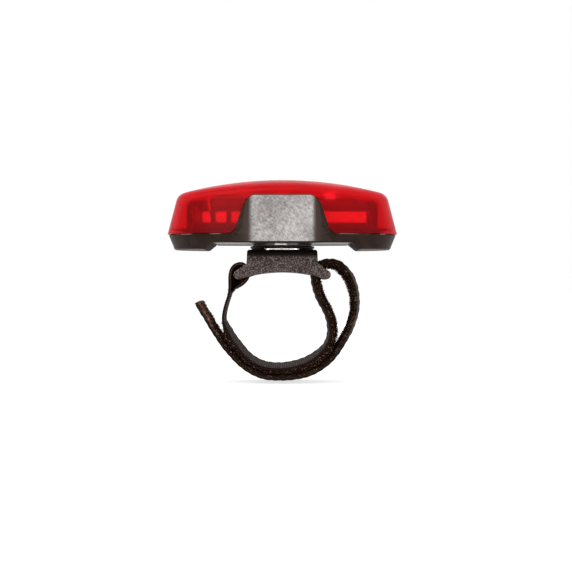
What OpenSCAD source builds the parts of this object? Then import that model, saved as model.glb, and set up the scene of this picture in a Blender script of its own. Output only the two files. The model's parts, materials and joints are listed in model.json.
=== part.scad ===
// Bicycle rear light with a swivel bracket and a hook-and-loop strap.
// The origin is the crown of the bracket's saddle, where it sits on the tube. X runs across the light,
// Y along the tube, and Z from the tube to the light's crest. Lengths are in millimetres.

/* [Housing] */
// Width of the light across its ends
body_w = 62.2; // [62:0.1:68]
// Room from the carrier's end walls to the housing's rim
end_room = 5.8; // [5.7:0.05:7]
// Depth of the light along the tube, without its tabs
body_d = 36; // [35.6:0.1:40]
// Squareness of the oval outline: 2 is an ellipse
oval_power = 2.8; // [2.7:0.05:3.2]
// Height of the housing's wall from its recessed underside to the seam
wall_h = 2.7; // [2.5:0.05:3.2]
// Thickness of the housing's floor
floor_t = 1.3; // [1.2:0.05:1.5]
// Thickness of the housing's wall at the rim
rim_t = 1.75; // [1.6:0.05:1.9]
// Height of the two feet below the recessed underside
foot_h = 1.7; // [1:0.1:1.9]
// Length of the recess between the feet at the underside
recess_w = 37; // [34:0.5:40]
// Slope of the housing's wall below the rim, in degrees
base_slope = 25; // [15:1:30]

/* [Lens] */
// Height of the lens crest above the seam
lens_h = 14.3; // [14.2:0.05:16]
// Thickness of the lens wall
lens_t = 1.75; // [1.5:0.05:1.8]
// Slope of the lens wall, in degrees
lens_draft = 14.5; // [10:0.5:15]
// How far the crown falls from its middle to the lens's ends
crown_fall = 4.71; // [3:0.1:5]
// Crown radius of the lens along the tube
crown_y_r = 60; // [55:5:120]
// Length of the blend at the lens shoulder
shoulder = 1.9; // [1:0.1:2]
// Step from the housing's rim in to the lens
lens_step = 0.25; // [0.1:0.05:0.4]

/* [Tabs] */
// Height of the tabs above the seam
tab_h = 9.6; // [8.5:0.1:10]
// Half width of a tab at the seam
tab_base = 12.5; // [11.5:0.1:13]
// Half width of a tab at its top
tab_neck = 7.7; // [7:0.1:8.2]
// Half width of a tab's flat face
tab_face = 8.3; // [7.5:0.1:9]
// How far a tab's face stands out of the wall at its foot
tab_proud = 1.2; // [1:0.1:2]
// Lean of a tab's face, in degrees
tab_lean = 11.5; // [10:0.5:12]

/* [Power] */
// Diameter of an AAA cell
cell_d = 10.2; // [9.8:0.1:10.5]
// Height of a compressed battery spring
spring_h = 2.5; // [2.3:0.1:2.6]
// Wire diameter of a battery spring
spring_wire = 0.5; // [0.4:0.05:0.55]
// Turns of a battery spring
spring_turns = 2.5; // [2:0.5:2.5]
// Thickness of the contact plates
contact_t = 0.4; // [0.3:0.05:0.5]
// Diameter of the insulated leads
lead_d = 0.8; // [0.6:0.05:0.9]

/* [Electronics] */
// Thickness of the circuit boards
board_t = 0.8; // [0.6:0.1:0.9]
// Gap from the lamp board's ends to the ends of the battery bay
board_room = 3.9; // [3.5:0.1:6]
// Width of the lamp board
board_w = 13; // [12:0.5:13.5]
// Distance of the side lamps from the middle
side_led_x = 12.8; // [11:0.1:15]

/* [Button] */
// Diameter of the push button
button_d = 6.6; // [6:0.1:7]
// Height of the push button above the tab's face
button_rise = 0.7; // [0.5:0.1:1]
// Travel of the push button
button_travel = 0.4; // [0.2:0.05:0.4]

/* [Swivel] */
// Diameter of the pivot screw
pivot_d = 3; // [2.6:0.1:3.2]
// Thickness of the bright thrust washer
washer_t = 0.5; // [0.4:0.05:0.8]
// Diameter of the thrust washer
washer_d = 10.9; // [9:0.1:11]
// Thickness of the swivel plate
plate_t = 0.6; // [0.5:0.05:0.9]
// Diameter of the swivel plate
plate_d = 17.4; // [17:0.1:18]
// Height of the round boss under the housing
boss_h = 0.9; // [0.8:0.05:1.2]
// Diameter of that boss
boss_d = 16.3; // [15.5:0.1:16.8]

/* [Bracket] */
// Height of the bracket from its saddle's crown to its top
bracket_h = 5.9; // [5.6:0.1:7]
// Width of the bracket's block across the light
bracket_w = 18.6; // [18.2:0.1:19.2]
// Radius of the saddle
saddle_r = 38; // [30:1:60]
// Distance of the strap bars from the middle
bar_x = 11.6; // [11.5:0.05:11.8]
// Diameter of the strap bars
bar_d = 2.5; // [2.2:0.1:2.6]
// Thickness of the plates at the ends of the strap slots
cheek_t = 2; // [1.5:0.1:3]

/* [Strap] */
// Width of the strap
strap_w = 18; // [15:0.5:20]
// Thickness of the woven tape
tape_t = 0.7; // [0.5:0.05:0.75]
// Thickness of the pile patch
pile_t = 1.4; // [1.1:0.05:1.6]
// Thickness of the hook patch
hook_t = 1; // [0.9:0.05:1.2]

/* [Hidden] */
$fn = 48;

// Clearances
seat_gap = 0.05;
slip_gap = 0.1;
fit_gap = 0.15;
slot_gap = 0.5;
through = 40;
cut_over = 1;

// Heights above the saddle's crown
plate_z = bracket_h + washer_t;
boss_z = plate_z + plate_t;
under_z = boss_z + boss_h;
floor_z = under_z + floor_t;
foot_z = under_z - foot_h;
seam_z = under_z + wall_h;
crest_z = seam_z + lens_h;
tab_z = seam_z + tab_h;

// The housing's rim: a straight land, then the sloped wall down to a rounded foot
rim_land = 0.4;
foot_round = 0.7;
foot_share = 0.3;
outline_steps = 64;
crown_rings = 4;
crown_x_r = (body_w * body_w / 4 + crown_fall * crown_fall) / (2 * crown_fall);
shoulder_rings = 4;

// The seal lies on the floor under the lens tongue
seal_t = 0.5;
seal_w = 1.2;
tongue_t = 1.1;
tongue_z = floor_z + seal_t + seat_gap;
tongue_rise = 0.7;
seal_in = rim_t + slip_gap;
tongue_in = rim_t + fit_gap;
// The lens is cut away round the tabs from this depth outwards
notch_y = body_d / 5;

// Cells lie side by side along X, either side of the carrier's web, and fill the bay but for the spring
web_t = 0.3;
end_wall_t = 1.4;
carrier_end = body_w / 2 - end_room;
bay_half = carrier_end - end_wall_t;
cell_stop = bay_half - contact_t;
cell_l = 2 * cell_stop - spring_h;
cell_r = cell_d / 2;
cell_y = cell_r + web_t / 2 + fit_gap;
cell_z = floor_z + fit_gap + cell_r;
nub_d = 3.8;
nub_l = 1;
cell_edge = 0.5;

// Carrier
end_gap = 0.6;
end_wall_h = 8.9;
end_wall_knee = 5.7;
rib_half = 2.2;
rib_neck = 0.9;
rib_h = 2;
lug_l = 2.3;
lug_w = 4.4;
lug_t = 1.2;
lug_root = 0.5;
carrier_bottom = floor_z + seat_gap;
end_wall_half = oval_y(carrier_end, tongue_in + tongue_t) - end_gap;
end_wall_inset = wall_inset(carrier_bottom + end_wall_h, lens_step + lens_t);
end_wall_top_half = oval_y(carrier_end, end_wall_inset) - end_gap;
board_z = cell_z + cell_r + fit_gap;
board_l = 2 * (bay_half - board_room);

// Small screws
tap_head_d = 2.4;
tap_head_h = 1;
tap_d = 1.5;
tap_gap = 0.03;
tap_slot_w = 0.35;
tap_slot_h = 0.4;
lug_screw_x = carrier_end + lug_l / 2 + slip_gap;
lug_screw_l = 2;
board_screw_x = 6.4;
board_screw_l = 1.4;
switch_screw_x = 6.6;
switch_screw_l = 2;

// Contacts
contact_y = 1.2;
contact_edge = end_wall_half - slip_gap;
contact_drop = 4;
contact_low = cell_z - contact_drop;
contact_h = 7.6;

// Lamps
led_w = 3.5;
led_d = 2.8;
led_h = 1.4;
led_main_w = 4.4;
led_main_h = 0.9;
led_dome_d = 3;
led_dome_sink = 0.3;
led_dome_root = 0.1;
led_cup_h = 0.4;
led_cup_low_d = 1.7;
led_cup_top_d = 2.2;
chip_size = [5, 4, 0.9];
chip_x = -6.2;
chip_y = 3.2;
capacitor_size = [6.6, 2.6, 0.6];
capacitor_out = 1.7;
capacitor_x = -side_led_x - capacitor_out;
capacitor_y = -4.6;

// Button and switch, measured inwards from the far tab's face
button_up = 4.8;
button_z = seam_z + button_up;
button_gap = 0.2;
button_flange_d = 8.4;
button_flange_t = 0.7;
button_round = 0.5;
button_wall = 1.65;
button_pocket_d = button_flange_d + 4 * button_gap;
button_flange_depth = button_wall + slip_gap;
switch_top = button_flange_depth + button_flange_t + seat_gap;
plunger_d = 3.4;
plunger_h = 0.5;
plunger_foot = 0.3;
switch_w = 6;
switch_h = 1.6;
switch_board_depth = switch_top + plunger_h + switch_h;
switch_board_w = 16;
switch_board_h = 7.6;
switch_post_d = 2.6;
switch_post_root = 1.2;

// Swivel
pivot_gap = 0.06;
pivot_bore_d = pivot_d + 2 * pivot_gap;
hub_rim = 0.75;
hub_d = washer_d + 2 * hub_rim;
notch_w = 9.2;
peg_d = 1.6;
peg_x = 5;
peg_h = 0.7;
nut_af = 5.5;
nut_h = 1.8;
nut_sink = 0.2;
nut_room = 1;
nut_z = under_z - nut_sink;
nut_top = nut_z + nut_h;
screw_head_d = 5.6;
screw_head_h = 1.8;
screw_head_z = 0.5;
spring_washer_t = 0.6;
spring_washer_d = 6;
counterbore_d = 6.4;
counterbore_h = screw_head_z + screw_head_h + spring_washer_t;
drive_d = 2;
drive_h = 1;

// Bracket
bracket_d = strap_w + 2 * (slot_gap + cheek_t);
slot_in = 7.45;
slot_l = strap_w + 2 * slot_gap;
bar_z = -0.76;
bar_root = 0.5;
arm_root_top = 2.2;
arm_root_out = 0.15;
arm_root_x = bracket_w / 2 + arm_root_out;
saddle_half = 7.9;
saddle_steps = 10;
arm_low = 18;
arm_high = 35;
bracket_round = 1.8;
bracket_corner = 0.4;
pad_gap = 0.3;
pad_w = 1.85;
pad_root = 0.2;
pad_r_in = hub_d / 2 + pad_gap;
pad_h = washer_t - slip_gap;
pad_angle = 45;

// The tape's centre line in the X-Z plane: the sewn loop round the left bar, and the run round the tube.
loop_points = [
    [-13.4, -5.6], [-12.75, -4.95], [-12, -4.3], [-11, -3.6], [-9.8, -2.6], [-9, -1.3], [-8.85, 0.2],
    [-9.4, 1.5], [-10.8, 2.3], [-12.4, 2], [-13.5, 0.9], [-14, -0.8], [-14.05, -2.6], [-14.05, -4.4]
];
run_points = [
    [-14.3, -6.2], [-15, -8.4], [-15.6, -10.8], [-15.7, -13.2], [-14.35, -15.5], [-13, -17.7],
    [-11.35, -19.8], [-9.45, -22.1], [-7, -23.95], [-4.2, -25], [-1, -25.3], [2.5, -24.9], [5.9, -23.9],
    [9, -22.2], [11.55, -20], [12.6, -17.5], [12.75, -15.2], [12.3, -12.6], [11.2, -10], [9.85, -7.6],
    [8.9, -5], [8.3, -2.4], [8.3, 0]
];
fold_points = [
    [9, 1.7], [10.5, 2.85], [12.7, 3.15], [15, 2.75], [17, 1.2], [18.7, -1], [19.7, -3.6],
    [20.2, -6.4], [20.25, -9.1], [19.85, -11.6], [19, -14.2], [17.9, -16.65]
];
tail_points = [[-19.3, -14.6], [-20.55, -12.4], [-21.95, -10.2], [-23, -8.15]];
// First and last point of the run that the strap's outer layer grips
grip_first = 4;
grip_last = 14;
// How far the outer layer stands off the inner one at those points, where the hooks barely hold
grip_lift = [0.52, 0.42, 0.31, 0.1, 0.07, 0.18, 0.15, 0.4, 0.68, 0.66, 0.47];
// Point of the run where the pile begins, and of the fold where it ends and the hooks begin
pile_first = 3;
pile_last = 5;
spline_steps = 2;
layer_step = tape_t + pile_t + hook_t + seat_gap;

// Routes of the leads from contact to board: X from the bay's end, Z from the floor
battery_lead_offsets = [
    [0.2, -8.75, 2], [0.3, -9.3, 1.95], [0.8, -9.8, 1.9], [1.9, -10.4, 1.8], [3.5, -11, 2], [4.9, -11.5, 2.8],
    [5.5, -11.6, 4.2], [5.4, -11.5, 5.9], [4.8, -10.9, 7.6], [4.4, -9.7, 9.3], [4.6, -8.4, 10.5],
    [5, -7.3, 10.9], [5, -6.53, 10.9]
];
return_lead_offsets = [
    [0.2, 3.4, 9], [0.3, 3.4, 9.7], [0.9, 3.4, 10.4], [1.9, 3.4, 10.7], [3, 3.4, 10.9], [3.87, 3.4, 10.9]
];
function from_bay(offsets) = [for (p = offsets) [p[0] - bay_half, p[1], p[2] + floor_z]];
lead_sides = 8;
switch_lead_x = 2;
switch_lead_rise = 1;
switch_lead_end = 0.9;
switch_lead_bow = 0.5;

// Shapes of the oval outline

function bent(v) = sign(v) * pow(abs(v), 2 / oval_power);
function oval_point(angle, inset) =
    [(body_w / 2 - inset) * bent(cos(angle)), (body_d / 2 - inset) * bent(sin(angle))];
// Depth of the oval at x, drawn in by inset
function oval_y(x, inset) =
    (body_d / 2 - inset) * pow(max(0, 1 - pow(abs(x) / (body_w / 2 - inset), oval_power)), 1 / oval_power);
function angle_of(i) = 360 * (i + 0.5) / outline_steps;
function flat_ring(inset, z) =
    [for (i = [0 : outline_steps - 1]) let (p = oval_point(angle_of(i), inset)) [p[0], p[1], z]];

// Faces between two rings of a loft, where ring j follows ring k
function band(n, k, j) = [
    for (i = [0 : n - 1]) let (a = k * n + i, b = k * n + (i + 1) % n, c = j * n + (i + 1) % n, d = j * n + i)
        each [[a, d, c], [a, c, b]]
];
// Faces that close a ring whose points pair off from both ends
function cap(n, k, up) = [
    for (i = [0 : n / 2 - 2]) let (a = k * n + i, b = a + 1, c = k * n + n - 2 - i, d = c + 1)
        each up ? [[a, d, c], [a, c, b]] : [[a, b, c], [a, c, d]]
];
module loft(rings) {
    n = len(rings[0]);
    last = len(rings) - 1;
    faces = concat(
        cap(n, 0, false),
        [for (k = [0 : last - 1]) each band(n, k, k + 1)],
        cap(n, last, true)
    );
    polyhedron(points = [for (r = rings) each r], faces = faces, convexity = 6);
}

// Lens: wall, shoulder and crown

function crown_z(p, drop) =
    crest_z - drop - (crown_x_r - sqrt(crown_x_r * crown_x_r - p[0] * p[0])) - p[1] * p[1] / (2 * crown_y_r);
function wall_inset(z, start) = start + max(0, z - seam_z) * tan(lens_draft);
// Inset where the wall meets the crown
function corner_inset(angle, start, drop, n = 6) =
    n == 0 ? start
    : wall_inset(crown_z(oval_point(angle, corner_inset(angle, start, drop, n - 1)), drop), start);
// Point of the shoulder's blend, from the wall at t = 0 to the crown at t = 1
function shoulder_point(angle, start, drop, t) =
    let (
        inset = corner_inset(angle, start, drop),
        top = crown_z(oval_point(angle, inset), drop),
        low = top - shoulder,
        far = inset + shoulder,
        a = [wall_inset(low, start), low],
        c = [far, crown_z(oval_point(angle, far), drop)],
        q = (1 - t) * (1 - t) * a + 2 * t * (1 - t) * [inset, top] + t * t * c,
        p = oval_point(angle, q[0])
    ) [p[0], p[1], q[1]];
function crown_point(angle, start, drop, w) =
    let (e = shoulder_point(angle, start, drop, 1), p = [e[0] * w, e[1] * w]) [p[0], p[1], crown_z(p, drop)];
function shoulder_ring(start, drop, t) =
    [for (i = [0 : outline_steps - 1]) shoulder_point(angle_of(i), start, drop, t)];
function crown_ring(start, drop, w) =
    [for (i = [0 : outline_steps - 1]) crown_point(angle_of(i), start, drop, w)];
// Rings of a dome, from above its wall to beside its crest
function dome_rings(start, drop) = concat(
    [for (k = [0 : shoulder_rings]) shoulder_ring(start, drop, k / shoulder_rings)],
    [for (k = [1 : crown_rings - 1]) crown_ring(start, drop, 1 - k / crown_rings)]
);

module lens_shell() {
    n = outline_steps;
    lens_in = lens_step + lens_t;
    tongue_inner = tongue_in + tongue_t;
    outer = concat([flat_ring(lens_step, seam_z + slip_gap)], dome_rings(lens_step, 0));
    inner = concat(
        [
            flat_ring(tongue_in, seam_z + slip_gap),
            flat_ring(tongue_in, tongue_z),
            flat_ring(tongue_inner, tongue_z),
            flat_ring(tongue_inner, seam_z + tongue_rise),
            flat_ring(wall_inset(seam_z + 2 * tongue_rise, lens_in), seam_z + 2 * tongue_rise)
        ],
        dome_rings(lens_in, lens_t)
    );
    rings = concat(outer, inner);
    top = len(outer) - 1;
    last = len(rings) - 1;
    crest = len(rings) * n;
    points = concat([for (r = rings) each r], [[0, 0, crest_z], [0, 0, crest_z - lens_t]]);
    faces = concat(
        [for (k = [0 : top - 1]) each band(n, k, k + 1)],
        [for (i = [0 : n - 1]) [top * n + i, crest, top * n + (i + 1) % n]],
        [for (k = [top + 1 : last - 1]) each band(n, k + 1, k)],
        [for (i = [0 : n - 1]) [last * n + (i + 1) % n, crest + 1, last * n + i]],
        band(n, top + 1, 0)
    );
    polyhedron(points = points, faces = faces, convexity = 8);
}

// Half width of a tab's outline at z, with a fillet where it runs into the seam
tab_fillet = 1.8;
tab_power = 2.2;
tab_edge = 0.35;
tab_rim = 0.7;
fillet_levels = 4;
flank_levels = 8;
flank_z = seam_z + tab_fillet;
tab_levels = concat(
    [for (k = [0 : fillet_levels - 1]) seam_z + tab_fillet * k / fillet_levels],
    [for (k = [0 : flank_levels]) flank_z + (tab_z - flank_z) * k / flank_levels]
);
function tab_flare(z) = let (h = z - seam_z) h >= tab_fillet ? 0
    : h <= 0 ? tab_fillet
    : tab_fillet - sqrt(tab_fillet * tab_fillet - pow(tab_fillet - h, 2));
function tab_half(z) = let (u = max(0, (z - seam_z) / tab_h))
    tab_base - (tab_base - tab_neck) * pow(u, tab_power) + tab_flare(z);
function face_y(z) = body_d / 2 + tab_proud - (z - under_z) * tan(tab_lean);
// Inset of the housing's own outer surface at z
function skin_inset(z) = z >= seam_z ? wall_inset(z, lens_step)
    : max(0, seam_z - rim_land - z) * tan(base_slope);
function tab_section(z) =
    let (
        h = tab_half(z),
        f = min(tab_face, h - tab_rim),
        xs = [-h, -f - tab_edge, -f, 0, f, f + tab_edge, h],
        back = z < seam_z ? rim_t : wall_inset(z, lens_step + lens_t),
        front = [
            -oval_y(h, skin_inset(z)), -face_y(z) + tab_edge, -face_y(z), -face_y(z),
            -face_y(z), -face_y(z) + tab_edge, -oval_y(h, skin_inset(z))
        ]
    ) concat(
        [for (i = [0 : len(xs) - 1]) [xs[i], front[i], z]],
        [for (i = [len(xs) - 1 : -1 : 0]) [xs[i], -oval_y(xs[i], back), z]]
    );
module tab() loft([for (z = concat([under_z, seam_z - rim_land], tab_levels)) tab_section(z)]);
// Outline of a tab in the X-Z plane, grown by gap
module tab_outline(gap) {
    low = floor_z - 1;
    right = concat([[tab_half(seam_z) + gap, low]], [for (z = tab_levels) [tab_half(z) + gap, z + gap]]);
    polygon(concat(right, [for (i = [len(right) - 1 : -1 : 0]) [-right[i][0], right[i][1]]]));
}
module along_y(depth) {
    rotate([90, 0, 0]) linear_extrude(height = depth, center = true) children();
}

// Frame of the button: its Z points out of the far tab's face
module at_button() {
    translate([0, face_y(button_z), button_z]) rotate([tab_lean - 90, 0, 0]) children();
}

module disc(d, z, h) { translate([0, 0, z]) cylinder(d = d, h = h); }

// A self-tapping screw with its head's seat at z = 0 and its shank below
module tapping_screw(shank_l) {
    difference() {
        union() {
            disc(tap_head_d, 0, tap_head_h);
            disc(tap_d, -shank_l, shank_l + seat_gap);
        }
        translate([0, 0, tap_head_h]) cube([tap_head_d / 2, tap_slot_w, 2 * tap_slot_h], center = true);
        translate([0, 0, tap_head_h]) cube([tap_slot_w, tap_head_d / 2, 2 * tap_slot_h], center = true);
    }
}

// Housing

module base_profile() {
    low_inset = (seam_z - rim_land - foot_z - foot_round) * tan(base_slope);
    loft([
        flat_ring(low_inset + foot_round, foot_z),
        flat_ring(low_inset + foot_round * foot_share, foot_z + foot_round * foot_share),
        flat_ring(low_inset, foot_z + foot_round),
        flat_ring(0, seam_z - rim_land),
        flat_ring(0, seam_z)
    ]);
}
// The recess between the feet, with sloped ends
module recess() {
    half = recess_w / 2;
    along_y(2 * through) polygon([
        [-half, under_z], [half, under_z], [half + foot_h, foot_z], [half + foot_h, foot_z - 1],
        [-half - foot_h, foot_z - 1], [-half - foot_h, foot_z]
    ]);
}
module switch_posts() {
    at_button() for (s = [-1, 1]) translate([s * switch_screw_x, 0, -switch_board_depth])
        cylinder(d = switch_post_d, h = switch_board_depth - switch_post_root);
}
module base_housing() color("#2b2826") difference() {
    union() {
        difference() {
            base_profile();
            loft([flat_ring(rim_t, floor_z), flat_ring(rim_t, seam_z + 1)]);
            recess();
        }
        tab();
        mirror([0, 1, 0]) tab();
        disc(boss_d, boss_z, boss_h + floor_t / 2);
        switch_posts();
    }
    disc(pivot_bore_d, 0, through);
    translate([0, 0, nut_z]) cylinder(d = nut_af / cos(30) + 2 * slip_gap, h = through, $fn = 6);
    for (s = [-1, 1]) {
        translate([s * peg_x, 0, 0]) disc(peg_d + 2 * slip_gap, 0, boss_z + peg_h + slip_gap);
        translate([s * lug_screw_x, 0, 0]) disc(tap_d + 2 * tap_gap, floor_z - lug_screw_l, through);
    }
    at_button() {
        disc(button_pocket_d, -switch_board_depth, switch_board_depth - button_wall);
        disc(button_d + 2 * button_gap, -button_flange_depth, through);
        for (s = [-1, 1]) translate([s * switch_screw_x, 0, -switch_board_depth - cut_over])
            disc(tap_d + 2 * tap_gap, 0, cut_over + switch_screw_l);
    }
}
module lens_seal() color("#1c1c1c") difference() {
    loft([flat_ring(seal_in, floor_z), flat_ring(seal_in, floor_z + seal_t)]);
    loft([
        flat_ring(seal_in + seal_w, floor_z - cut_over),
        flat_ring(seal_in + seal_w, floor_z + seal_t + cut_over)
    ]);
}
module lens_cover() color("#c4101a") difference() {
    lens_shell();
    for (s = [0, 1]) mirror([0, s, 0]) translate([0, -through / 2 - notch_y, 0])
        along_y(through) tab_outline(fit_gap);
}

// Battery carrier: end walls, a spine between the cells and two screw lugs

module spine() {
    top = board_z;
    low = carrier_bottom;
    rotate([90, 0, 90]) linear_extrude(height = 2 * (bay_half + end_wall_t / 2), center = true) polygon([
        [-rib_half, low], [rib_half, low], [rib_neck, low + rib_h], [web_t / 2, low + rib_h],
        [web_t / 2, top - rib_h], [rib_neck, top - rib_h], [rib_half, top], [-rib_half, top],
        [-rib_neck, top - rib_h], [-web_t / 2, top - rib_h], [-web_t / 2, low + rib_h],
        [-rib_neck, low + rib_h]
    ]);
}
// An end wall, raised in the middle to carry the spine
module end_wall() {
    low = carrier_bottom;
    knee = low + end_wall_knee;
    shelf = low + end_wall_h;
    translate([bay_half, 0, 0]) rotate([90, 0, 90]) linear_extrude(height = end_wall_t) polygon([
        [-end_wall_half, low], [end_wall_half, low], [end_wall_half, knee], [end_wall_top_half, shelf],
        [rib_half, shelf], [rib_half, board_z], [-rib_half, board_z], [-rib_half, shelf],
        [-end_wall_top_half, shelf], [-end_wall_half, knee]
    ]);
}
// Room in the spine for a contact plate at the bay's end
module contact_pocket(y0, y1) translate([cell_stop - slip_gap, y0, contact_low - slip_gap])
    cube([contact_t + slip_gap, y1 - y0, contact_h + 2 * slip_gap]);
module battery_carrier() color("#232323") difference() {
    union() {
        spine();
        for (s = [0, 1]) mirror([s, 0, 0]) {
            end_wall();
            translate([carrier_end - lug_root, -lug_w / 2, carrier_bottom])
                cube([lug_l + lug_root, lug_w, lug_t]);
        }
    }
    contact_pocket(-contact_edge, contact_edge);
    mirror([1, 0, 0]) for (s = [0, 1]) mirror([0, s, 0]) contact_pocket(contact_y - slip_gap, contact_edge);
    disc(nut_af / cos(30) + nut_room, 0, nut_top + 2 * slip_gap);
    for (s = [-1, 1]) {
        translate([s * lug_screw_x, 0, 0]) disc(tap_d + 2 * slip_gap, 0, through);
        translate([s * board_screw_x, 0, board_z - board_screw_l - slip_gap])
            disc(tap_d + 2 * tap_gap, 0, through);
    }
}
module carrier_screws() color("silver") for (s = [-1, 1])
    translate([s * lug_screw_x, 0, carrier_bottom + lug_t]) tapping_screw(lug_t + lug_screw_l - slip_gap);

// Cells, contacts and springs

// A cell along X with its nub at +X, ending at x = 0
module cell() rotate([0, 90, 0]) rotate_extrude() polygon([
    [0, -cell_l], [cell_r - cell_edge, -cell_l], [cell_r, -cell_l + cell_edge], [cell_r, -nub_l - cell_edge],
    [cell_r - cell_edge, -nub_l], [nub_d / 2, -nub_l], [nub_d / 2, 0], [0, 0]
]);
module cell_front() color("#6d6f73") translate([cell_stop, -cell_y, cell_z]) cell();
module cell_rear() color("#6d6f73") translate([-cell_stop, cell_y, cell_z]) mirror([1, 0, 0]) cell();

module contact_plate(y0, y1) translate([cell_stop, y0, contact_low]) cube([contact_t, y1 - y0, contact_h]);
module contact_negative() color("silver") mirror([1, 0, 0]) contact_plate(-contact_edge, -contact_y);
module contact_positive() color("silver") mirror([1, 0, 0]) contact_plate(contact_y, contact_edge);
module contact_bridge() color("silver") contact_plate(-contact_edge, contact_edge);

// Tubes along a route

function unit(v) = v / norm(v);
function heading(p, i) = unit(p[min(i + 1, len(p) - 1)] - p[max(i - 1, 0)]);
module tube(route, d, sides, side_axis) {
    rings = [
        for (i = [0 : len(route) - 1]) let (
            t = heading(route, i), u = unit(cross(side_axis, t)), v = cross(t, u)
        ) [
            for (k = [0 : sides - 1]) let (a = 360 * (k + 0.5) / sides)
                route[i] + d / 2 * (cos(a) * u + sin(a) * v)
        ]
    ];
    loft(rings);
}
// A conical spring along X: wide coil on the plate, narrow coil on the cell
spring_wide = 3.3;
spring_narrow = 1.4;
curl_rings = 8;
spring_sides = 6;
spring_route = let (
    steps = spring_turns * curl_rings,
    first = spring_wire / 2 + seat_gap,
    rise = spring_h - 2 * first
) [
    for (i = [0 : steps]) let (
        s = i / steps,
        r = spring_wide + (spring_narrow - spring_wide) * s,
        a = 360 * spring_turns * s
    ) [first + rise * s, r * cos(a), r * sin(a)]
];
function least_gap(route, d, apart) = let (last = len(route) - 1)
    min([for (i = [0 : last]) for (j = [i + apart : 1 : last]) norm(route[i] - route[j])]) - d;
echo(spring_least_gap = least_gap(spring_route, spring_wire, curl_rings - 2));
module spring() tube(spring_route, spring_wire, spring_sides, [1, 0, 0]);
module spring_front() color("silver") translate([-cell_stop, -cell_y, cell_z]) spring();
module spring_rear() color("silver") translate([cell_stop, cell_y, cell_z]) mirror([1, 0, 0]) spring();

module battery_lead() color("#a01818") tube(from_bay(battery_lead_offsets), lead_d, lead_sides, [1, 0, 0.2]);
module return_lead() color("#202020") tube(from_bay(return_lead_offsets), lead_d, lead_sides, [0, 1, 0]);

// Point at a depth behind the far tab's face and a height up along it, over the button's centre
function behind_face(x, depth, up) = [
    x, face_y(button_z) - depth * cos(tab_lean) - up * sin(tab_lean),
    button_z - depth * sin(tab_lean) + up * cos(tab_lean)
];
switch_lead_points = let (
    foot = behind_face(switch_lead_x, switch_board_depth + board_t / 2, switch_board_h / 2 + slip_gap),
    up = behind_face(switch_lead_x, switch_board_depth + board_t / 2, switch_board_h / 2 + switch_lead_rise),
    tip = [switch_lead_x, board_w / 2 + seat_gap, board_z + board_t / 2],
    near = tip + [0, switch_lead_end, 0],
    bow = [0, 0, switch_lead_bow]
) [foot, up, (2 * up + near) / 3 + bow, (up + 2 * near) / 3 + bow, near, tip];
module switch_leads() color("#202020") for (s = [0, 1]) mirror([s, 0, 0])
    tube(switch_lead_points, lead_d, lead_sides, [1, 0, 0]);

// Lamp board

module led_board() color("#e8e6df") difference() {
    translate([-board_l / 2, -board_w / 2, board_z]) cube([board_l, board_w, board_t]);
    for (s = [-1, 1]) translate([s * board_screw_x, 0, 0]) disc(tap_d + 2 * slip_gap, 0, through);
}
lamp_z = board_z + board_t;
module board_screws() color("silver") for (s = [-1, 1])
    translate([s * board_screw_x, 0, lamp_z]) tapping_screw(board_t + board_screw_l - slip_gap);
module led_main() color("#f2efe6") translate([0, 0, lamp_z]) {
    translate([-led_main_w / 2, -led_main_w / 2, 0]) cube([led_main_w, led_main_w, led_main_h]);
    intersection() {
        translate([0, 0, led_main_h - led_dome_sink]) sphere(d = led_dome_d);
        disc(2 * led_dome_d, led_main_h - led_dome_root, led_dome_d);
    }
}
module side_led() translate([-led_w / 2, -led_d / 2, lamp_z]) difference() {
    cube([led_w, led_d, led_h]);
    translate([led_w / 2, led_d / 2, led_h - led_cup_h])
        cylinder(d1 = led_cup_low_d, d2 = led_cup_top_d, h = led_cup_h + seat_gap);
}
module led_side_left() color("#f2efe6") translate([-side_led_x, 0, 0]) side_led();
module led_side_right() color("#f2efe6") translate([side_led_x, 0, 0]) side_led();
module board_block(size, x, y) translate([x - size[0] / 2, y - size[1] / 2, lamp_z]) cube(size);
module driver_chip() color("#181818") board_block(chip_size, chip_x, chip_y);
module capacitor() color("#181818") board_block(capacitor_size, capacitor_x, capacitor_y);

// Button and switch

module button_cap() color("#151515") at_button() rotate_extrude() polygon([
    [0, -button_flange_depth - button_flange_t],
    [button_flange_d / 2, -button_flange_depth - button_flange_t],
    [button_flange_d / 2, -button_flange_depth], [button_d / 2, -button_flange_depth],
    [button_d / 2, button_rise - button_round], [button_d / 2 - button_round, button_rise], [0, button_rise]
]);
module switch_plunger() color("#d8d8d8") at_button()
    disc(plunger_d, -switch_top - plunger_h - plunger_foot, plunger_h + plunger_foot);
module switch_body() color("#303030") at_button() difference() {
    well = plunger_foot + button_travel + slip_gap;
    translate([-switch_w / 2, -switch_w / 2, -switch_board_depth]) cube([switch_w, switch_w, switch_h]);
    disc(plunger_d + 2 * slip_gap, -switch_top - plunger_h - well, 2 * well);
}
module switch_board() color("#1f4a2c") at_button() difference() {
    translate([0, 0, -switch_board_depth - board_t / 2])
        cube([switch_board_w, switch_board_h, board_t], center = true);
    for (s = [-1, 1]) translate([s * switch_screw_x, 0, 0])
        disc(tap_d + 2 * slip_gap, -switch_board_depth - board_t - cut_over, board_t + 2 * cut_over);
}
module switch_screws() color("silver") at_button() for (s = [-1, 1])
    translate([s * switch_screw_x, 0, -switch_board_depth - board_t]) rotate([180, 0, 0])
        tapping_screw(board_t + switch_screw_l - slip_gap);

// Swivel

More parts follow.
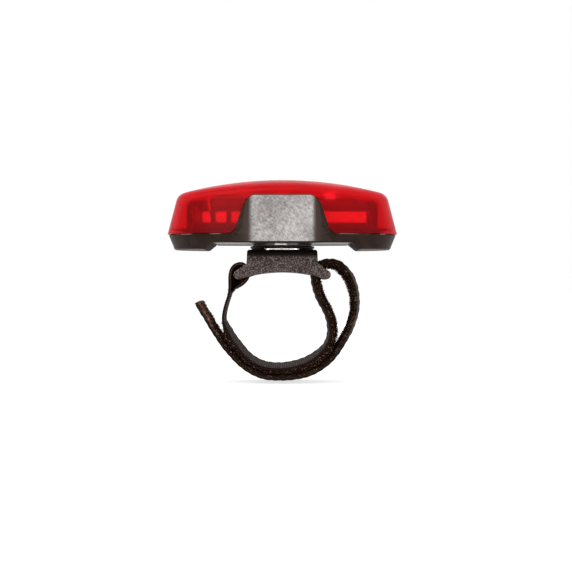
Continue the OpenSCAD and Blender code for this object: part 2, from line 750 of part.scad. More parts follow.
module swivel_plate() color("#1d1b1a") difference() {
    union() {
        difference() {
            disc(plate_d, plate_z, plate_t);
            for (s = [0, 1]) mirror([0, s, 0]) translate([-notch_w / 2, hub_d / 2, plate_z - cut_over])
                cube([notch_w, through, plate_t + 2 * cut_over]);
        }
        for (s = [-1, 1]) translate([s * peg_x, 0, 0]) disc(peg_d, plate_z, plate_t + peg_h);
    }
    disc(pivot_bore_d, 0, through);
}
module pivot_nut() color("silver") difference() {
    translate([0, 0, nut_z]) cylinder(d = nut_af / cos(30), h = nut_h, $fn = 6);
    disc(pivot_d + 2 * tap_gap, 0, through);
}
module pivot_screw() color("silver") difference() {
    union() {
        disc(screw_head_d, screw_head_z, screw_head_h);
        disc(pivot_d, screw_head_z, nut_top - screw_head_z);
    }
    translate([0, 0, screw_head_z - cut_over])
        cylinder(d = drive_d / cos(30), h = cut_over + drive_h, $fn = 6);
}
module thrust_washer() color("#e9e7e2") difference() {
    disc(washer_d, bracket_h, washer_t);
    disc(pivot_bore_d + 2 * slip_gap, 0, through);
}
module spring_washer() color("silver") difference() {
    disc(spring_washer_d, screw_head_z + screw_head_h, spring_washer_t);
    disc(pivot_bore_d + 2 * slip_gap, 0, through);
}

// Bracket

// Right half of the bracket's outline, from the saddle's crown to the middle of its top
bracket_half = let (half = bracket_w / 2) concat(
    [for (i = [0 : saddle_steps]) let (x = saddle_half * i / saddle_steps)
        [x, sqrt(saddle_r * saddle_r - x * x) - saddle_r]],
    [
        [bar_x, bar_z] - bar_d / 2 * [sin(arm_low), cos(arm_low)],
        [bar_x, bar_z],
        [bar_x, bar_z] + bar_d / 2 * [sin(arm_high), cos(arm_high)],
        [arm_root_x, arm_root_top], [half, bracket_h - bracket_corner], [half - bracket_corner, bracket_h]
    ]
);
module bracket_outline() {
    last = len(bracket_half) - 1;
    polygon(concat(bracket_half, [for (i = [last : -1 : 1]) [-bracket_half[i][0], bracket_half[i][1]]]));
    for (s = [-1, 1]) translate([s * bar_x, bar_z]) circle(d = bar_d);
}
// The block's top edges are rounded towards both ends of the tube
module bracket_envelope() {
    half = bracket_d / 2;
    low = bar_z - bar_d;
    rotate([90, 0, 90]) linear_extrude(height = 2 * through, center = true) hull() {
        for (s = [-1, 1]) translate([s * (half - bracket_round), bracket_h - bracket_round])
            circle(r = bracket_round, $fn = 24);
        translate([-half, low]) square([2 * half, 1]);
    }
}
module click_pads() {
    for (s = [0, 1]) mirror([s, 0, 0]) rotate([0, 0, -pad_angle]) translate([0, 0, bracket_h - pad_root])
        rotate_extrude(angle = 2 * pad_angle) translate([pad_r_in, 0]) square([pad_w, pad_h + pad_root]);
}
module strap_bracket() color("#2e2a28") difference() {
    union() {
        difference() {
            intersection() {
                along_y(bracket_d) bracket_outline();
                bracket_envelope();
            }
            for (s = [0, 1]) mirror([s, 0, 0]) translate([slot_in, -slot_l / 2, -through / 2])
                cube([through, slot_l, through]);
        }
        for (s = [-1, 1]) translate([s * bar_x, 0, bar_z]) rotate([90, 0, 0])
            cylinder(d = bar_d, h = slot_l + 2 * bar_root, center = true);
        click_pads();
    }
    disc(pivot_bore_d, -cut_over, through);
    disc(counterbore_d, -cut_over, cut_over + counterbore_h);
}

// Strap: one tape in a route, with the pile and the hooks sewn to the same side

function catmull(a, b, c, d, t) = 0.5 * (2 * b + (c - a) * t + (2 * a - 5 * b + 4 * c - d) * t * t
    + (3 * b - 3 * c + d - a) * t * t * t);
function spline(p, steps) = let (n = len(p) - 1) concat(
    [for (i = [0 : n - 1]) for (s = [0 : steps - 1])
        catmull(p[max(i - 1, 0)], p[i], p[i + 1], p[min(i + 2, n)], s / steps)],
    [p[n]]
);
function right_of(p, i) = let (t = heading(p, i)) [t[1], -t[0]];
// The outer layer lies on the inner one, so its gripped stretch is the run stepped out by the layers
grip_points = [
    for (i = [grip_last : -1 : grip_first])
        run_points[i] + (layer_step + grip_lift[i - grip_first]) * right_of(run_points, i)
];
strap_points = concat(loop_points, run_points, fold_points, grip_points, tail_points);
strap_route = spline(strap_points, spline_steps);
function route_index(i) = i * spline_steps;
module ribbon(first, last, low, high) along_y(strap_w) polygon(concat(
    [for (i = [first : last]) strap_route[i] + low * right_of(strap_route, i)],
    [for (i = [last : -1 : first]) strap_route[i] + high * right_of(strap_route, i)]
));
pile_start = route_index(len(loop_points) + pile_first);
fold_start = route_index(len(loop_points) + len(run_points) + pile_last);
route_end = len(strap_route) - 1;
module strap_tape() color("#2a211c") ribbon(0, route_end, -tape_t / 2, tape_t / 2);
module pile_patch() color("#1c1512") ribbon(pile_start, fold_start, tape_t / 2, tape_t / 2 + pile_t);
module hook_patch() color("#33241c") ribbon(fold_start + 1, route_end, tape_t / 2, tape_t / 2 + hook_t);

base_housing();
lens_seal();
battery_carrier();
carrier_screws();
cell_front();
cell_rear();
contact_negative();
contact_positive();
contact_bridge();
spring_front();
spring_rear();
led_board();
board_screws();
led_main();
led_side_left();
led_side_right();
driver_chip();
capacitor();
battery_lead();
return_lead();
switch_board();
switch_body();
switch_screws();
switch_leads();
swivel_plate();
pivot_nut();
pivot_screw();
button_cap();
switch_plunger();
lens_cover();
strap_bracket();
thrust_washer();
spring_washer();
strap_tape();
pile_patch();
hook_patch();
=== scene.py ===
import json
import math
from contextlib import contextmanager

import bmesh
import bpy
import numpy as np
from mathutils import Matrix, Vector

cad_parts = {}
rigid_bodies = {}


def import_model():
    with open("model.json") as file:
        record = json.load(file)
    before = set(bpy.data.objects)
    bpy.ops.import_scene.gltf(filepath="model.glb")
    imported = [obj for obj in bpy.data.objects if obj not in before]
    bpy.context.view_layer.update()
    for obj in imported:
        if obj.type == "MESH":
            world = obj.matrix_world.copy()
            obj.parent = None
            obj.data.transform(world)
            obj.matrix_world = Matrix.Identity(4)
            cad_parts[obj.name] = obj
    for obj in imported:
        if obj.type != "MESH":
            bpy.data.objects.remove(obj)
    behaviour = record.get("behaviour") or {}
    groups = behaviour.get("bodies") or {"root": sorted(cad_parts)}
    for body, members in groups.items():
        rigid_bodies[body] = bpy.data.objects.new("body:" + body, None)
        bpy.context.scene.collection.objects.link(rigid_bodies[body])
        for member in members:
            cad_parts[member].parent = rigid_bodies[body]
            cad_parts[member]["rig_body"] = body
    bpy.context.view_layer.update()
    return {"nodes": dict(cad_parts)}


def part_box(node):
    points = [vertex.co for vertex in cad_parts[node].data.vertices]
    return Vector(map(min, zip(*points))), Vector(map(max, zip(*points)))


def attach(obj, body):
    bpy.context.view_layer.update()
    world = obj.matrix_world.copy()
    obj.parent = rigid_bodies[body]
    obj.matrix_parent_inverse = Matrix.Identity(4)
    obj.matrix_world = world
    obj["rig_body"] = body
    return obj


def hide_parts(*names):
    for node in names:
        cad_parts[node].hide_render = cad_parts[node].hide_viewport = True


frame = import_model()

# Bicycle rear light on a swivel bracket with a hook-and-loop strap.
# Sizes are in millimetres, as in the solids, and a mesh is scaled to metres when it is made.
MM = 0.001

# Housing and lens
BODY_W, BODY_D, OVAL_POWER = 62.2, 36.0, 2.8
FOOT_Z, BOSS_Z, UNDER_Z, FLOOR_Z, SEAM_Z, CREST_Z = 6.0, 7.0, 7.9, 9.2, 10.05, 24.9
RIM_T, RIM_LAND, FOOT_ROUND, RECESS_W = 1.75, 0.25, 0.7, 37.0
BASE_STEP, BASE_SLOPE = 0.45, math.tan(math.radians(22))
LENS_T, LENS_STEP, SHOULDER = 1.75, 0.0, 1.9
LENS_DRAFT = math.tan(math.radians(14.5))
CROWN_FALL, CROWN_Y_R = 4.71, 60.0
CROWN_X_R = (BODY_W ** 2 / 4 + CROWN_FALL ** 2) / (2 * CROWN_FALL)
LENS_EDGE = 0.16
TONGUE_IN, TONGUE_T, TONGUE_Z, TONGUE_RISE = 1.9, 1.1, 9.75, 0.7
SLIP_GAP, TAB_GAP = 0.1, 0.04
OUTLINE_STEPS, WALL_STEPS, SHOULDER_STEPS, CROWN_STEPS, BASE_STEPS = 256, 8, 10, 14, 8
# Share of a softened corner at which its middle point lies
CORNER_SHARE = 0.3
# The rim's rounded edge: insets from the wall and drops from the seam
RIM_ROUND = ((0.03, 0.15), (0.08, 0.05), (0.16, 0.0))
# The lip along the recess: steps out from the wall and up from the underside, and its distance from the recess's ends
LIP_SECTION = ((-0.5, -0.16), (-0.4, -0.26), (-0.12, -0.26), (-0.02, -0.16), (-0.02, 0.3), (-0.5, 0.3))
LIP_END, LIP_STEPS = 0.3, 41
# Rounded corners of the recess's sloped ends, at the underside and at the feet
RECESS_TOP = ((-0.5, 0.0), (-0.1, -0.12), (0.25, -0.42))
RECESS_FOOT = ((-0.4, 0.4), (-0.1, 0.16), (0.35, 0.0), (0.6, -1.0))
CUT_REACH, BORE_TOP = 60.0, 12.0
SIDES = (-1, 1)
# Limits that tell a face's finish by its direction and by its distance from a plane or a wall
FACING, SLOPED, LEVEL = 0.05, 0.3, 0.9
ON_PLANE, ON_NOTCH, OFF_WALL = 0.02, 0.08, 0.2
HOUSING_FINISHES = ("housing_plastic", "tab_face", "underside_polish", "boss_polish", "foot_slope")
LENS_FINISHES = ("lens_red", "lens_edge")

# Tabs
TAB_Z, TAB_BASE, TAB_NECK, TAB_FACE, TAB_PROUD = 20.2, 12.5, 7.7, 8.3, 1.2
TAB_FILLET, TAB_TAPER, TAB_TURN, TAB_RIM, TAB_EDGE = 1.8, 3.0, 9, 0.7, 0.35
TAB_LEAN = math.radians(11.5)
TAB_ROOT, TAB_CREST, TAB_HOLLOW = 0.12, 0.25, 1.35
TAB_LOW_Z, FILLET_STEPS, FLANK_STEPS, HOLLOW_STEPS = (8.6, 9.3), 12, 26, 8
NOTCH_Y = 7.2

# Button and swivel
BUTTON_Z, BUTTON_HOLE, BUTTON_WALL, BUTTON_POCKET, BUTTON_REACH = 15.4, 7.0, 1.65, 9.2, 6.0
SWITCH_DEPTH, SWITCH_SCREW_X, SWITCH_POST_D, SWITCH_POST_ROOT, POST_BORE = 4.6, 6.6, 2.6, 1.2, (-1.0, 2.0)
BOSS_D, BOSS_ROOT, PIVOT_BORE, NUT_ACROSS, NUT_Z = 16.3, 0.65, 3.12, 5.5, 7.7
# The boss's rounded foot and its slight draft: insets from its radius and rises from its foot
BOSS_ROUND = ((0.22, 0.0), (0.08, 0.06), (0.02, 0.2), (0.0194, 0.24))
PEG_X, PEG_HOLE, PEG_TOP, LUG_SCREW_X, LUG_LOW, SCREW_BORE = 5.0, 1.8, 7.8, 26.55, 7.2, 1.56

# Cells, springs and leads
# The fourth size is the half height of the painted highlight along each cell.
CELL_Y, CELL_Z, CELL_STOP, CELL_HIGHLIGHT_HALF, CELL_BARE_X = 5.4, 14.45, 23.5, 1.5, (22.1, 22.25)
SPRING_H, SPRING_WIRE, SPRING_TURNS, SPRING_WIDE, SPRING_NARROW = 2.5, 0.5, 2.5, 3.3, 1.4
SPRING_REST, SPRING_STEPS = SPRING_WIRE / 2 + 0.05, 60
LEAD_D, LEAD_TUBE_Z, LEAD_TUBE_EDGE, BAY_HALF = 0.8, 16.2, 0.15, 23.9
EDGE_LAMP_X, EDGE_LAMP_Z = 12.8, (19.4, 21.85)
EDGE_LAMP_DEEP, EDGE_LAMP_SINK, EDGE_LAMP_HALF, EDGE_LAMP_SOFT = 1.0, 0.02, 1.35, 0.18
# Places and half widths of the breaks in the cells' painted highlight, and the strength of the glow painted into it.
HIGHLIGHT_BREAKS, HIGHLIGHT_GLOW = ((14.1, 0.5), (18.0, 0.22)), 0.3
BATTERY_LEAD = [(0.2, -8.75, 2), (0.3, -9.3, 1.95), (0.8, -9.8, 1.9), (1.9, -10.4, 1.8), (3.5, -11, 2),
                (4.9, -11.5, 2.8), (5.5, -11.6, 4.2), (5.4, -11.5, 5.9), (4.8, -10.9, 7.6), (4.4, -9.7, 9.3),
                (4.6, -8.4, 10.5), (5, -7.3, 10.9), (5, -6.53, 10.9)]
RETURN_LEAD = [(0.2, 3.4, 9), (0.3, 3.4, 9.7), (0.9, 3.4, 10.4), (1.9, 3.4, 10.7), (3, 3.4, 10.9), (3.87, 3.4, 10.9)]

# Strap: centre lines in the X-Z plane; the sewn loop is pulled tighter at the strap's far edge
STRAP_W, TAPE_T, PILE_T, HOOK_T = 18.0, 0.7, 1.4, 1.0
LOOP_NEAR = [(-13.4, -5.6), (-12.75, -4.95), (-12, -4.3), (-11, -3.6), (-9.8, -2.6), (-9, -1.3), (-8.85, 0.2),
             (-9.4, 1.5), (-10.8, 2.3), (-12.4, 2), (-13.5, 0.9), (-14, -0.8), (-14.05, -2.6), (-14.05, -4.4)]
LOOP_FAR = [(-13.4, -5.6), (-13.15, -4.8), (-12.93, -3.9), (-12.65, -2.9), (-12.62, -2.02), (-11.75, -2.36),
            (-10.6, -2.1), (-9.9, -1.1), (-9.95, 0.3), (-11.1, 1.15), (-12.5, 0.8), (-13.22, -0.4), (-13.12, -1.7),
            (-13.24, -2.75)]
RUN = [(-14.3, -6.2), (-15, -8.4), (-15.6, -10.8), (-15.7, -13.2), (-14.35, -15.5), (-13, -17.7),
       (-11.35, -19.8), (-9.45, -22.1), (-7, -23.95), (-4.2, -25), (-1, -25.3), (2.5, -24.9), (5.9, -23.9),
       (9, -22.2), (11.55, -20), (12.6, -17.5), (12.75, -15.2), (12.3, -12.6), (11.2, -10), (9.85, -7.6),
       (8.9, -5), (8.3, -2.4), (8.3, 0)]
FOLD = [(9, 1.7), (10.5, 2.85), (12.7, 3.15), (15, 2.75), (17, 1.2), (18.7, -1), (19.7, -3.6),
        (20.2, -6.4), (20.25, -9.1), (19.85, -11.6), (19, -14.2), (17.9, -16.65)]
TAIL = [(-19.3, -14.6), (-20.55, -12.4), (-21.95, -10.2), (-23, -8.15)]
GRIP_FIRST, GRIP_LAST = 4, 14
GRIP_LIFT = [0.52, 0.42, 0.31, 0.1, 0.07, 0.18, 0.15, 0.4, 0.68, 0.66, 0.47]
PILE_FIRST, PILE_LAST = 3, 5
LAYER_STEP = TAPE_T + PILE_T + HOOK_T + 0.05
ROUTE_STEPS = 24
RIB_PITCH, YARN_PITCH, RIB_H, SQUEEZE = 0.6, 0.42, 0.05, 0.55
BAR_PLACE, LOOP_REACH, GROOVE_FILL = (-11.6, -0.76), 5.0, 0.45
GRIP_EASE_IN, GRIP_EASE_OUT = 3, 5
# Length of tape in one unit of its UV map
UV_UNIT = 10
EDGE_ROUND, ACROSS_STEPS, WANDER_RATES = 0.3, 9, (2.3, 0.71)
PRESSED, PRESS_REACH = 0.25, 4
PILE_WEAR, PILE_WORN, PILE_FREE = 3.5, 0.12, 0.8
HOOK_GAP, HOOK_SHARE, FUZZ_REACH, FIBRE_INSET, FIBRE_LOW = 0.15, 0.7, 14, 0.15, 0.1
# Where the selvedge lies across the tape, where a painted highlight pales it at the fold, and where the free end begins
SELVEDGE, FOLD_HIGHLIGHT_X, FREE_END_X = (8.85, 8.97), (16, 19.5), (15, 21)
HEM, STITCH_RISE, STITCH_SINK, STITCH_STEPS = 1.4, 0.04, 0.02, 20
# Places of the stitch rows: from the sewn end, from the start of the run, and in from the patches' ends
END_ROWS, RUN_ROWS, ROW_IN, PILE_ROW_OUT, HOOK_ROW_OUT = (0.7, 2.0), (-1.4, -0.2), 0.8, 0.6, 1.2

# Stage: places in millimetres for the floor and the camera, in metres for the lamps
FLOOR_LEVEL, FLOOR_REACH, FLOOR_GLOW, SKY_LEVEL = -29.8, 6000.0, 0.7, 0.55
CAMERA_PLACE = (1.0, -400.0, -3.75)
CAMERA_LENS, CAMERA_SENSOR, CAMERA_CLIP = 92.5, 36.0, (0.01, 50.0)
# Name, place, width, height and power of each lamp
LAMPS = (
    ("key", (-0.35, -0.75, 0.62), 0.6, 0.6, 3.7),
    ("fill", (0.6, -0.6, 0.25), 0.6, 0.6, 1.0),
    ("top", (0.1, 0.25, 0.9), 0.8, 0.8, 3.2),
    ("front", (-0.1, -0.95, 0.032), 0.8, 0.075, 2.4),
)

scene = bpy.context.scene
scene.view_settings.view_transform = "Standard"


# ---------------------------------------------------------------- finishes

class Nodes:
    """A node tree with short calls for adding to it."""

    def __init__(self, tree):
        self.tree = tree

    def node(self, kind, inputs=None, **settings):
        made = self.tree.nodes.new(kind)
        for setting, value in settings.items():
            setattr(made, setting, value)
        for socket, value in (inputs or {}).items():
            if isinstance(value, bpy.types.NodeSocket):
                self.tree.links.new(value, made.inputs[socket])
            else:
                made.inputs[socket].default_value = value
        return made

    def math(self, operation, a, b=0.0, **settings):
        return self.node("ShaderNodeMath", {0: a, 1: b}, operation=operation, **settings).outputs[0]

    def seen_rays(self):
        """1 for camera, glossy and transmission rays, which see the plain white background."""
        path = self.node("ShaderNodeLightPath")
        total = path.outputs["Is Camera Ray"]
        for kind in ("Is Glossy Ray", "Is Transmission Ray"):
            total = self.math("ADD", total, path.outputs[kind], use_clamp=True)
        return total


class Finish(Nodes):
    """A Principled material with short calls for the nodes that its detail needs."""

    def __init__(self, name, **sockets):
        self.material = bpy.data.materials.new(name)
        self.material.use_nodes = True
        super().__init__(self.material.node_tree)
        self.shader = self.tree.nodes["Principled BSDF"]
        self.place = self.node("ShaderNodeTexCoord").outputs["Object"]
        for socket, value in sockets.items():
            self.shader.inputs[socket.replace("_", " ")].default_value = value

    def noise(self, per_mm, detail=3.0, place=None, stretch=None):
        place = place or self.place
        if stretch:
            place = self.node("ShaderNodeMapping", {"Vector": place, "Scale": stretch}).outputs["Vector"]
        return self.node("ShaderNodeTexNoise", {"Vector": place, "Scale": per_mm / MM, "Detail": detail}).outputs["Fac"]

    def cells(self, per_mm):
        return self.node("ShaderNodeTexVoronoi", {"Vector": self.place, "Scale": per_mm / MM}).outputs["Distance"]

    def wave(self, per_mm, direction):
        inputs = {"Vector": self.place, "Scale": per_mm / MM}
        return self.node("ShaderNodeTexWave", inputs, bands_direction=direction).outputs["Fac"]

    def axis(self, letter):
        return self.node("ShaderNodeSeparateXYZ", {"Vector": self.place}).outputs[letter]

    def distance(self, letter, centre=0.0):
        """Distance along an axis from a place in millimetres."""
        return self.math("ABSOLUTE", self.math("SUBTRACT", self.axis(letter), centre * MM))

    def blend(self, *parts):
        """Sum of values, each with its share."""
        total = None
        for value, share in parts:
            scaled = self.math("MULTIPLY", value, share)
            total = scaled if total is None else self.math("ADD", total, scaled)
        return total

    def span(self, value, low, high):
        """0 below low and 1 above high, with a soft step between."""
        inputs = {"Value": value, "From Min": low, "From Max": high}
        return self.node("ShaderNodeMapRange", inputs, interpolation_type="SMOOTHSTEP").outputs["Result"]

    def past(self, value, ends):
        """The same soft step between two places in millimetres."""
        return self.span(value, *(end * MM for end in ends))

    def range(self, value, low, high):
        """A value from 0 to 1, brought to low and high."""
        return self.node("ShaderNodeMapRange", {"Value": value, "To Min": low, "To Max": high}).outputs["Result"]

    def mix(self, factor, a, b):
        return self.node("ShaderNodeMix", {0: factor, 6: a, 7: b}, data_type="RGBA").outputs[2]

    def set(self, socket, value):
        self.tree.links.new(value, self.shader.inputs[socket])

    def bump(self, height, depth):
        return self.node("ShaderNodeBump", {"Height": height, "Distance": depth * MM}).outputs["Normal"]

    def coat(self, colour, gloss, relief=None):
        """Sets the colour, the roughness as (value, low, high) and the relief as (height, depth)."""
        self.set("Base Color", colour)
        self.set("Roughness", self.range(*gloss))
        if relief:
            self.set("Normal", self.bump(*relief))
        return self.material


def grey(value, warmth=0.0):
    """A grey, browner with more warmth."""
    return (value * (1 + warmth), value, value * (1 - 0.35 * warmth), 1.0)


def moulded(name, dark, light, warmth, rough, grain_per_mm, grain_depth, shine):
    """Moulded plastic: a fine spark-eroded grain, cloudy shade and uneven gloss."""
    plastic = Finish(name, IOR=1.5, Specular_IOR_Level=shine, Specular_Tint=grey(0.8, 0.6 * warmth))
    cloud = plastic.noise(0.35, 4.0)
    grain = plastic.noise(grain_per_mm, 3.0)
    pits = plastic.cells(grain_per_mm * 0.8)
    shade = plastic.span(plastic.blend((cloud, 0.5), (grain, 0.5)), 0.36, 0.64)
    relief = plastic.math("ADD", grain, plastic.math("MULTIPLY", pits, 0.6))
    colour = plastic.mix(shade, grey(dark, warmth), grey(light, warmth))
    plastic.coat(colour, (cloud, rough - 0.08, rough + 0.1), (relief, grain_depth))
    return plastic


def lens_red():
    """Clear red moulding: a satin outside, a faint flow in the melt, and depth to look through."""
    lens = Finish("lens_red", IOR=1.12, Transmission_Weight=0.86, Specular_IOR_Level=0.1)
    flow = lens.noise(0.06, 3.0)
    red = lens.mix(flow, (0.75, 0.014, 0.024, 1), (0.83, 0.018, 0.03, 1))
    return lens.coat(red, (lens.noise(0.5, 3.0), 0.28, 0.36), (lens.noise(0.25, 2.0), 0.02))


def lens_edge():
    """The lens's cut edges round the tabs: deep red, matt and a little uneven."""
    edge = Finish("lens_edge", IOR=1.1, Specular_IOR_Level=0.0)
    wander = edge.noise(1.5, 3.0)
    red = edge.mix(wander, (0.02, 0.002, 0.002, 1), (0.12, 0.006, 0.008, 1))
    return edge.coat(red, (wander, 0.6, 0.8), (wander, 0.02))


def housing_plastic():
    """Housing moulding: charcoal with a fine grain, and a thin bright line along the rim's edge that is a painted
    highlight.
    """
    housing = moulded("housing_plastic", 0.005, 0.016, 0.7, 0.5, 3.4, 0.03, 0.13)
    body = housing.shader.inputs["Base Color"].links[0].from_socket
    # Painted highlight: a thin pale line painted along the rim's edge, in patches and away from the tabs.
    edge = housing.math("SUBTRACT", 1.0, housing.past(housing.distance("Z", SEAM_Z - 0.12), (0.06, 0.115)))
    patches = housing.span(housing.noise(0.3, 3.0, stretch=(1, 1, 0.1)), 0.42, 0.6)
    beside = housing.past(housing.distance("X"), (TAB_BASE + 1.7, TAB_BASE + 2.5))
    rim_highlight = housing.math("MULTIPLY", housing.math("MULTIPLY", edge, patches), beside)
    housing.set("Base Color", housing.mix(rim_highlight, body, grey(0.3, 0.04)))
    return housing.material


def boss_polish():
    """The boss's polished side: dark brown, with faint turning lines in its gloss."""
    boss = Finish("boss_polish", IOR=1.5, Specular_IOR_Level=0.9)
    lines = boss.noise(2.0, 2.0, stretch=(0.1, 0.1, 2))
    return boss.coat(boss.mix(lines, grey(0.03, 0.5), grey(0.06, 0.5)), (lines, 0.1, 0.14))


def tab_face_grey():
    """The tabs' flat faces: a fine criss-cross grain on a pale satin that is a painted reflection, fading into painted
    shade on the dark flanks.
    """
    face = Finish("tab_face_grey", IOR=1.5, Specular_IOR_Level=0.18)
    lean = [
        face.node("ShaderNodeMapping", {"Vector": face.place, "Rotation": (0, math.radians(turn), 0)}).outputs["Vector"]
        for turn in (42, -48)
    ]
    long_strokes, cross_strokes = (face.noise(4.4, 2.0, place, (1, 1, 0.16)) for place in lean)
    grain = face.math("MAXIMUM", long_strokes, face.math("SUBTRACT", cross_strokes, 0.06))
    speck = face.noise(6.5, 2.0)
    cloud = face.noise(0.13, 3.0)
    shade = face.blend((grain, 0.5), (speck, 0.25), (cloud, 0.25))
    # Painted reflection: the face's grain painted pale grey, as if it caught the lamps' light.
    pale = face.mix(face.span(shade, 0.38, 0.68), grey(0.145, 0.09), grey(0.57, 0.06))
    aside = face.math("ADD", face.distance("X"), face.math("MULTIPLY", speck, 0.5 * MM))
    far_aside = face.past(aside, (TAB_FACE + 0.4, TAB_FACE + 3))
    # Painted shade: the flanks painted darker outwards, as they turn away from the light.
    shaded = face.mix(far_aside, grey(0.03, 0.6), grey(0.012, 0.8))
    flank = face.past(aside, (TAB_FACE - 0.6, TAB_FACE + 0.95))
    # Painted shade along the rounded crest as well.
    crest = face.past(face.axis("Z"), (TAB_Z - 0.34, TAB_Z - 0.1))
    return face.coat(face.mix(face.math("MAXIMUM", flank, crest), pale, shaded), (grain, 0.42, 0.62), (shade, 0.05))


def bracket_plastic():
    """Bracket moulding: a speckled brown-grey with a coarse grain, and painted shade darkening its rounded top."""
    bracket = moulded("bracket_plastic", 0.006, 0.048, 0.4, 0.55, 3.4, 0.05, 0.14)
    pale = bracket.shader.inputs["Base Color"].links[0].from_socket
    pale = bracket.mix(bracket.span(bracket.noise(3.1, 1.0), 0.48, 0.66), pale, grey(0.145, 0.22))
    # Painted shade: near black along the rounded top, where shade falls under the head.
    crest = bracket.past(bracket.axis("Z"), (3.7, 4.5))
    bracket.set("Base Color", bracket.mix(crest, pale, grey(0.004, 0.5)))
    return bracket.material


def washer_steel():
    """Polished washer: bright, with a faint cloud in its gloss."""
    metal = Finish("washer_steel", Metallic=1.0)
    cloud = metal.noise(1.2, 3.0)
    return metal.coat(metal.mix(cloud, grey(0.5, 0.02), grey(0.62, 0.02)), (cloud, 0.26, 0.35))


def steel(name, dark, light):
    """Plated steel: fine turning lines and dull patches."""
    metal = Finish(name, Metallic=1.0)
    dull = metal.noise(0.8, 4.0)
    lines = metal.noise(3.0, 2.0, stretch=(1, 1, 9))
    return metal.coat(metal.mix(dull, grey(dark, 0.02), grey(light, 0.01)), (lines, 0.22, 0.42), (lines, 0.006))


def cell_jacket():
    """Cell sleeve: dark film painted lighter upwards as painted light from above, a pale broken stripe along each side
    that is a faintly glowing painted highlight, and bare steel ends.
    """
    jacket = Finish("cell_jacket", IOR=1.5, Emission_Color=grey(1.0))
    # Painted highlight: a pale band round the cell at its middle height, broken in places.
    off = jacket.past(jacket.distance("Z", CELL_Z), (CELL_HIGHLIGHT_HALF - 0.25, CELL_HIGHLIGHT_HALF + 0.15))
    painted_highlight = jacket.math("SUBTRACT", 1.0, off)
    for place, half in HIGHLIGHT_BREAKS:
        away = jacket.past(jacket.distance("X", -place), (half, half + 0.35))
        painted_highlight = jacket.math("MULTIPLY", painted_highlight, away)
    film = jacket.mix(jacket.noise(0.6, 3.0), grey(0.015), grey(0.03))
    # Painted light: the film painted lighter above the highlight, as if lit from above.
    painted_light_above = jacket.past(jacket.axis("Z"), (CELL_Z + CELL_HIGHLIGHT_HALF, CELL_Z + 2.5 * CELL_HIGHLIGHT_HALF))
    film = jacket.mix(painted_light_above, film, grey(0.12))
    ends = jacket.past(jacket.distance("X"), CELL_BARE_X)
    painted_highlight = jacket.math("MULTIPLY", painted_highlight, jacket.math("SUBTRACT", 1.0, ends))
    body = jacket.mix(painted_highlight, film, grey(0.9))
    jacket.set("Metallic", ends)
    # Painted glow: the highlight band glows a little, though the sleeve is no lamp.
    jacket.set("Emission Strength", jacket.math("MULTIPLY", painted_highlight, HIGHLIGHT_GLOW))
    colour = jacket.mix(ends, body, grey(0.3, 0.02))
    return jacket.coat(colour, (jacket.noise(1.5, 3.0), 0.26, 0.4), (jacket.noise(2.0, 2.0), 0.01))


def circuit_board(name, mask_dark, mask_light, copper):
    """Solder mask over copper tracks, with a faint weave of the laminate under it."""
    board = Finish(name, IOR=1.5)
    weave = board.math("ADD", board.wave(0.9, "X"), board.wave(0.9, "Y"))
    level = board.math("ABSOLUTE", board.math("SUBTRACT", board.noise(0.22, 1.0), 0.5))
    tracks = board.span(level, 0.02, 0.035)
    mask = board.mix(board.noise(0.4, 3.0), mask_dark, mask_light)
    relief = board.math("SUBTRACT", board.math("MULTIPLY", weave, 0.15), tracks)
    return board.coat(board.mix(tracks, copper, mask), (tracks, 0.25, 0.4), (relief, 0.02))


def lamp_package():
    """Lamp package: clouded white resin, with a painted glow that is brightest in the right-hand lamp."""
    lamp = Finish("lamp", IOR=1.5, Emission_Color=grey(1.0))
    cloud = lamp.noise(1.2, 3.0)
    # Painted glow: the resin glows, strongest at the right-hand lamp, as a bright spot seen through the lens.
    lamp.set("Emission Strength", lamp.range(lamp.past(lamp.axis("X"), (5, 8)), 0.1, 0.6))
    resin = lamp.mix(cloud, (0.88, 0.86, 0.8, 1), (0.95, 0.94, 0.9, 1))
    return lamp.coat(resin, (cloud, 0.2, 0.35), (lamp.noise(3.0, 2.0), 0.008))


def lead_sleeve(name, dark, light, shrunk_to=0.0):
    """Insulated lead: soft vinyl, with a black shrunk tube over its lower end where it has one."""
    sleeve = Finish(name, IOR=1.5)
    wander = sleeve.noise(0.9, 3.0)
    bare = sleeve.past(sleeve.axis("Z"), (shrunk_to - LEAD_TUBE_EDGE, shrunk_to + LEAD_TUBE_EDGE))
    vinyl = sleeve.mix(bare, grey(0.012), sleeve.mix(wander, dark, light))
    return sleeve.coat(vinyl, (wander, 0.35, 0.5), (sleeve.noise(4.0, 2.0), 0.01))


